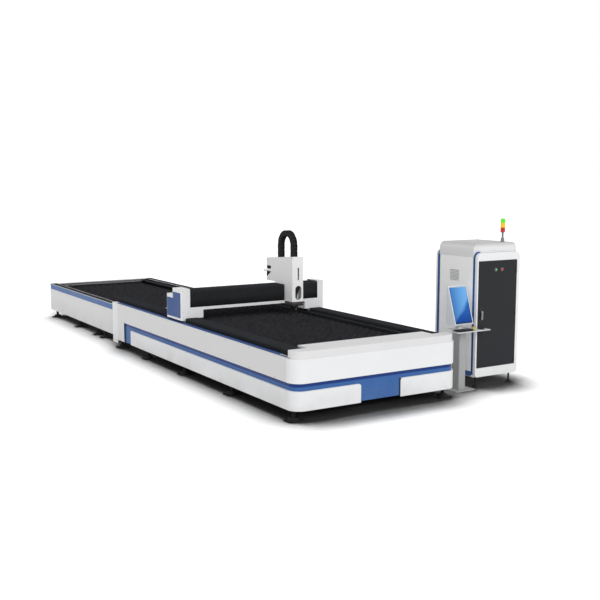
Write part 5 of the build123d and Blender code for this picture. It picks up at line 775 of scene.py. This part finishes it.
bm = bmesh.new()
for y0, y1 in ((-47, -43.5), (156, 159.5)):
    box(bm, 480, 653, y0, y1, SKIRT_FOOT, SKIRT_TOP)
for x0, x1 in ((479.5, 483), (650, 653.5)):
    box(bm, x0, x1, -46, 158, SKIRT_FOOT, SKIRT_TOP)
for i in range(BRISTLES):
    x = 481 + i * BRISTLE_PITCH
    box(bm, x, x + BRISTLE_WIDTH, -48.4, -46.8, 868, 918)
place("brush_skirt", bm, "skirt_grey", "carriage")

# A dark plate behind the left and upper part of the window: painted shade inside the head cover.
bm = bmesh.new()
window_shade_outline = [(530, 962), (552, 962), (556, 1020), (590, 1085), (618, 1148), (530, 1148)]
prism(bm, window_shade_outline, "y", -45.5, -43)
place("window_shade_plate", bm, "rubber", "carriage", bevel=1)


def window(radius):
    """The outline of the tall window with round ends."""
    turns = [math.radians(180 * i / 12) for i in range(13)]
    top = [(WINDOW_X + radius * math.cos(a), WINDOW_TOP + radius * math.sin(a)) for a in turns]
    foot = [(WINDOW_X - radius * math.cos(a), WINDOW_FOOT - radius * math.sin(a)) for a in turns]
    return top + foot


bm = bmesh.new()
ring_prism(bm, window(51), window(46.3), "y", -52.6, -50.5)
slit_outer = rounded(563.5, 586.5, 1236, 1414, 10)
slit_inner = rounded(565.5, 584.5, 1238, 1412, 9)
ring_prism(bm, slit_outer, slit_inner, "y", -52, -50.5)
place("cover_opening_edges", bm, "edge_grey", "carriage")

bm = bmesh.new()
prism(bm, rounded(560, 672, 1354, 1402, 6), "x", *SERVICE_FACE)
prism(bm, [(556, 1316), (682, 1316), (684, 1300), (684, 1244), (664, 1244)], "x", *SERVICE_FACE)
place("cover_service_openings", bm, "rubber", "carriage")
bm = bmesh.new()
prism(bm, rounded(548, 684, 1320, 1350, 5), "x", 462, 476)
lathe(bm, (462, 652, 1335), (-1, 0, 0), FITTING, 24)
place("cover_air_fitting", bm, "cover_white", "carriage", bevel=1)

bm = bmesh.new()
for y, z in COVER_SCREWS:
    for x, side in ((475, -1), (658, 1)):
        bolt(bm, (x, y, z), (side, 0, 0), 5)
for x in (488, 645):
    for z in (945, 1180, 1550):
        bolt(bm, (x, -51, z), (0, -1, 0), 4.5)
place("head_cover_screws", bm, "zinc_steel", "carriage")

bm = bmesh.new()
for z, radius in ((905, 34), (880, 31)):
    profile = [(radius, 0), (radius + 3, 2), (radius + 3, 10), (radius, 12)]
    lathe(bm, (HEAD_X, HEAD_Y, z), (0, 0, 1), profile, 40)
for i in range(4):
    angle = math.radians(45 + 90 * i)
    spot = (HEAD_X + 27 * math.cos(angle), HEAD_Y + 27 * math.sin(angle), 868)
    bolt(bm, spot, (0, 0, -1), 3)
place("laser_head_rings", bm, "head_alloy", "head")

# ---------------------------------------------------------------- control cabinet
LEFT, RIGHT, FRONT, REAR, BASE = 1704, 2439, -2515, -1722, 145
HOOD_ROUND = 75
STRIPE_Y, STRIPE_Z, STRIPE_ROUND = -2318, 182, 32
BLADES, BLADE_PITCH, BLADE_HEIGHT = 24, 6, 3.8
SLOT_ROWS, SLOTS, SLOT_PITCH = (330, 1330), 10, 22
HINGE_X, HINGE_Y, HINGES = 2385, -2525, (343, 948.5, 1514)

bm = bmesh.new()
front_opening = arch(1726, 2388, 263, 1634, 4, 4)
rear_opening = arch(1764, 2379, 205, 1690, 30, 10)
ring_prism(bm, arch(LEFT, RIGHT, BASE, 1738, 70, 40), front_opening, "y", FRONT, -2472)
ring_prism(bm, arch(LEFT, RIGHT, BASE, 1744, 70, 40), rear_opening, "y", -1752, REAR)
frames = place("cabinet_frame_rims", bm, "white_paint", "base", bevel=3)
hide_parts("cabinet_frames")

bm = bmesh.new()
for top, y0, y1 in ((1750, -2474, -2434), (1752, -1792, -1750)):
    outer = arch(LEFT + 2, RIGHT - 2, BASE + 2, top, 78, 40)
    ring_prism(bm, outer, arch(1740, 2403, 185, 1700, 40, 10), "y", y0, y1, inside=2)
stripe = [(-2436, 150), (-2436, 214)]
for angle in map(math.radians, range(0, 181, 20)):
    y = STRIPE_Y + STRIPE_ROUND * math.sin(angle)
    stripe.append((y, STRIPE_Z + STRIPE_ROUND * math.cos(angle)))
for x0, x1 in ((LEFT + 1.5, LEFT + 8), (RIGHT - 8, RIGHT - 1.5)):
    prism(bm, stripe, "x", x0, x1, 1)
stripe_looks = ["cabinet_blue", "blue_paint", "white_paint"]
stripes = place("cabinet_stripes", bm, stripe_looks, "base", bevel=1)
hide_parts("cabinet_trims")

bm = bmesh.new()
prism(bm, arch(LEFT + 0.5, RIGHT - 0.5, 1680, 1855, HOOD_ROUND, 1), "y", -2437, -1786)
for y0, y1 in ((-2477, -2430), (-1790, -1750)):
    box(bm, LEFT + 80, RIGHT - 46, y0, y1, 1739.5, 1754.5)
hood = place("cabinet_hood", bm, "cabinet_hood_paint", "base", bevel=5)
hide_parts("cabinet_top_cover")

bm = bmesh.new()
vent_outer = rounded(-2176, -1998, 1352, 1510, 6)
vent_inner = rounded(-2170, -2004, 1358, 1504, 4)
ring_prism(bm, vent_outer, vent_inner, "x", 1705.5, 1711)
for i in range(BLADES):
    z = 1359 + i * BLADE_PITCH
    top = z + BLADE_HEIGHT
    prism(bm, [(-2171, z), (-2003, z), (-2003, top), (-2171, top)], "x", 1706.3, 1710)
place("cabinet_side_grille", bm, "grille_grey", "base", bevel=0.6)

bm = bmesh.new()
prism(bm, rounded(1772, 2371, 270, 1600, 12), "y", -1724.5, -1722.5)
for low in SLOT_ROWS:
    for i in range(SLOTS):
        z = low + i * SLOT_PITCH
        louvre = [(-1723, z), (-1722.2, z + 2), (-1722.2, z + 9), (-1723, z + 13)]
        prism(bm, louvre, "x", 1860, 2283)
place("cabinet_rear_panel", bm, "grey_paint", "base", bevel=1)
bm = bmesh.new()
for i in range(SLOTS):
    for low in SLOT_ROWS:
        z = low + i * SLOT_PITCH
        box(bm, 1862, 2281, -1722.6, -1722.1, z - 6, z - 1)
place("cabinet_rear_slots", bm, "rubber", "base")
bm = bmesh.new()
for z in (300, 935, 1570):
    for x in (1786, 2357):
        bolt(bm, (x, -1722.5, z), (0, 1, 0), 1.6)
place("cabinet_rear_screws", bm, "zinc_steel", "base")

bm = bmesh.new()
knuckle = [(0, 0.6), (6.3, 0.6), (7, 2), (7, 38), (6.3, 40), (0, 40)]
for z in HINGES:
    lathe(bm, (HINGE_X, HINGE_Y, z), (0, 0, 1), knuckle, 24)
    box(bm, 2386, 2418, -2519.5, -2514.5, z, z + 40)
place("frame_hinge_halves", bm, "white_paint", "base")
bm = bmesh.new()
cap = [(0, -0.4), (6.5, -0.4), (7.2, 1), (7.2, 39), (6.5, 40), (0, 40)]
for z in HINGES:
    lathe(bm, (HINGE_X, HINGE_Y, z - 40), (0, 0, 1), cap, 24)
place("door_hinge_caps", bm, "white_paint", "cabinet_door")

bm = bmesh.new()
prism(bm, rounded(1761, 1799, 868, 1030, 10), "y", -2521, -2518.5)
place("door_handle_plate", bm, "motor_black", "cabinet_door", bevel=0.8)
bm = bmesh.new()
for i in range(6):
    z = 902 + i * 15
    box(bm, 1768, 1792, -2545.9, -2544.2, z, z + 5)
place("handle_grooves", bm, "rubber", "door_handle", bevel=0.4)
bm = bmesh.new()
bezel = [(23, 0), (23, 2.5), (20, 4.6), (16, 4.6), (15, 2)]
for x in (2016, 2124):
    lathe(bm, (x, -2518.6, 1517), (0, -1, 0), bezel, 40)
place("button_bezels", bm, "source_grey", "cabinet_door")
# A small pale spot on the upper left of the green button: a painted glint.
bm = bmesh.new()
lathe(bm, (2012, -2532.4, 1520), (0, -1, 0), [(5, -0.5), (4.5, 0.5), (0, 0.9)], 16)
place("start_button_glint", bm, "lens_white", "start_button")

# ---------------------------------------------------------------- signal lamp
LAMP_X, LAMP_Y, POLE_FOOT, LENS_FOOT, LENS_HEIGHT = 2280, -2350, 1855, 1981, 59
RIBS, RIB_PITCH = 9, 5.6
POLE = [
    (0, 0), (27, 0), (27, 4), (24, 8), (22, 44), (20, 50), (13, 53), (12.5, 58), (12.5, 118),
    (22, 122), (30, 126), (30, 127),
]

bm = bmesh.new()
lathe(bm, (LAMP_X, LAMP_Y, POLE_FOOT), (0, 0, 1), POLE, 36)
pole = place("lamp_pole", bm, "source_grey", "base")
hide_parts("tower_pole")
for number, name in enumerate(("lamp_red", "lamp_yellow", "lamp_green")):
    profile = [(0, 0), (29, 0), (31, 1.5)]
    for i in range(RIBS):
        z = 4 + i * RIB_PITCH
        profile += [(31, z), (29.6, z + 1.4), (29.6, z + 2.8), (31, z + 4.2)]
    if name == "lamp_green":
        profile += [(31, 54), (28, 57.5), (18, 58.8), (0, 59)]
    else:
        profile += [(31, 57.5), (29, 59), (0, 59)]
    bm = bmesh.new()
    lathe(bm, (LAMP_X, LAMP_Y, LENS_FOOT + LENS_HEIGHT * number), (0, 0, 1), profile, 40)
    lens = place(name + "_lens", bm, name + "_plastic", "base")
    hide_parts(name)

# ---------------------------------------------------------------- operator stand
KEY_PITCH, KEY_WIDTH, KEY_DEPTH, ROW_PITCH = 15.6, 13.4, 17, 20.4
KEY_ROWS, KEY_COLUMNS = 5, 15
SPACE_BAR, SPACE_BAR_END = 4, 9
SCREEN_LEAN = 18.4
MOUSE = [(0, 0), (30, 0), (31.5, 4), (31.5, 12), (27, 21), (18, 26.5), (8, 28.4), (0, 28.6)]
WHEEL = [(0, 0), (7, 0), (7.5, 1), (7.5, 7), (7, 8), (0, 8)]
COLLAR = [(0, 0), (31, 0), (31, 14), (30, 34), (27.5, 38), (23.5, 38), (22.5, 34), (22.5, 20)]

bm = bmesh.new()
for row in range(KEY_ROWS):
    for column in range(KEY_COLUMNS):
        wide = KEY_WIDTH
        if row == 0 and column == SPACE_BAR:
            wide = KEY_WIDTH + (SPACE_BAR_END - SPACE_BAR) * KEY_PITCH
        elif row == 0 and SPACE_BAR < column <= SPACE_BAR_END:
            continue
        x = 1320 + column * KEY_PITCH
        y = -2637 + row * ROW_PITCH
        prism(bm, rounded(x, x + wide, y, y + KEY_DEPTH, 2.5, 3), "z", 801.5, 805)
place("keyboard_keys", bm, "key_grey", "base", bevel=0.9)

bm = bmesh.new()
lathe(bm, (0, 0, 784), (0, 0, 1), MOUSE, 32)
bmesh.ops.scale(bm, vec=(1, 1.65, 1), verts=bm.verts)
bmesh.ops.translate(bm, vec=(1730, -2580, 0), verts=bm.verts)
box(bm, 1729.4, 1730.6, -2632, -2584, 806, 812.9)
lathe(bm, (1726, -2606, 806), (1, 0, 0), WHEEL, 20)
place("pointer", bm, "keyboard_plastic", "base")

bm = bmesh.new()
lathe(bm, (1600, -2585, 783.5), (0, 0, 1), COLLAR, 40)
place("stop_collar", bm, "yellow_plastic", "base")

lean = math.radians(SCREEN_LEAN)
up = Vector((0, math.sin(lean), math.cos(lean)))
out = Vector((0, -math.cos(lean), math.sin(lean)))
foot = Vector((1526, -2500, 840))


def on_screen(x, distance, proud):
    """A place on the leaning front of the monitor, from the middle of its foot."""
    return foot + Vector((x, 0, 0)) + up * distance + out * proud


bm = bmesh.new()
for x0, x1, d0, d1 in (
    (-138, 138, 13, 16.5), (-138, 138, 492.5, 496), (-138, -134.5, 16, 493), (134.5, 138, 16, 493),
):
    corners = (x0, d0), (x1, d0), (x1, d1), (x0, d1)
    loops = [[bm.verts.new(on_screen(x, d, proud)) for x, d in corners] for proud in (-2.5, 0.6)]
    solid(bm, *loops)
place("screen_gasket", bm, "rubber", "base")
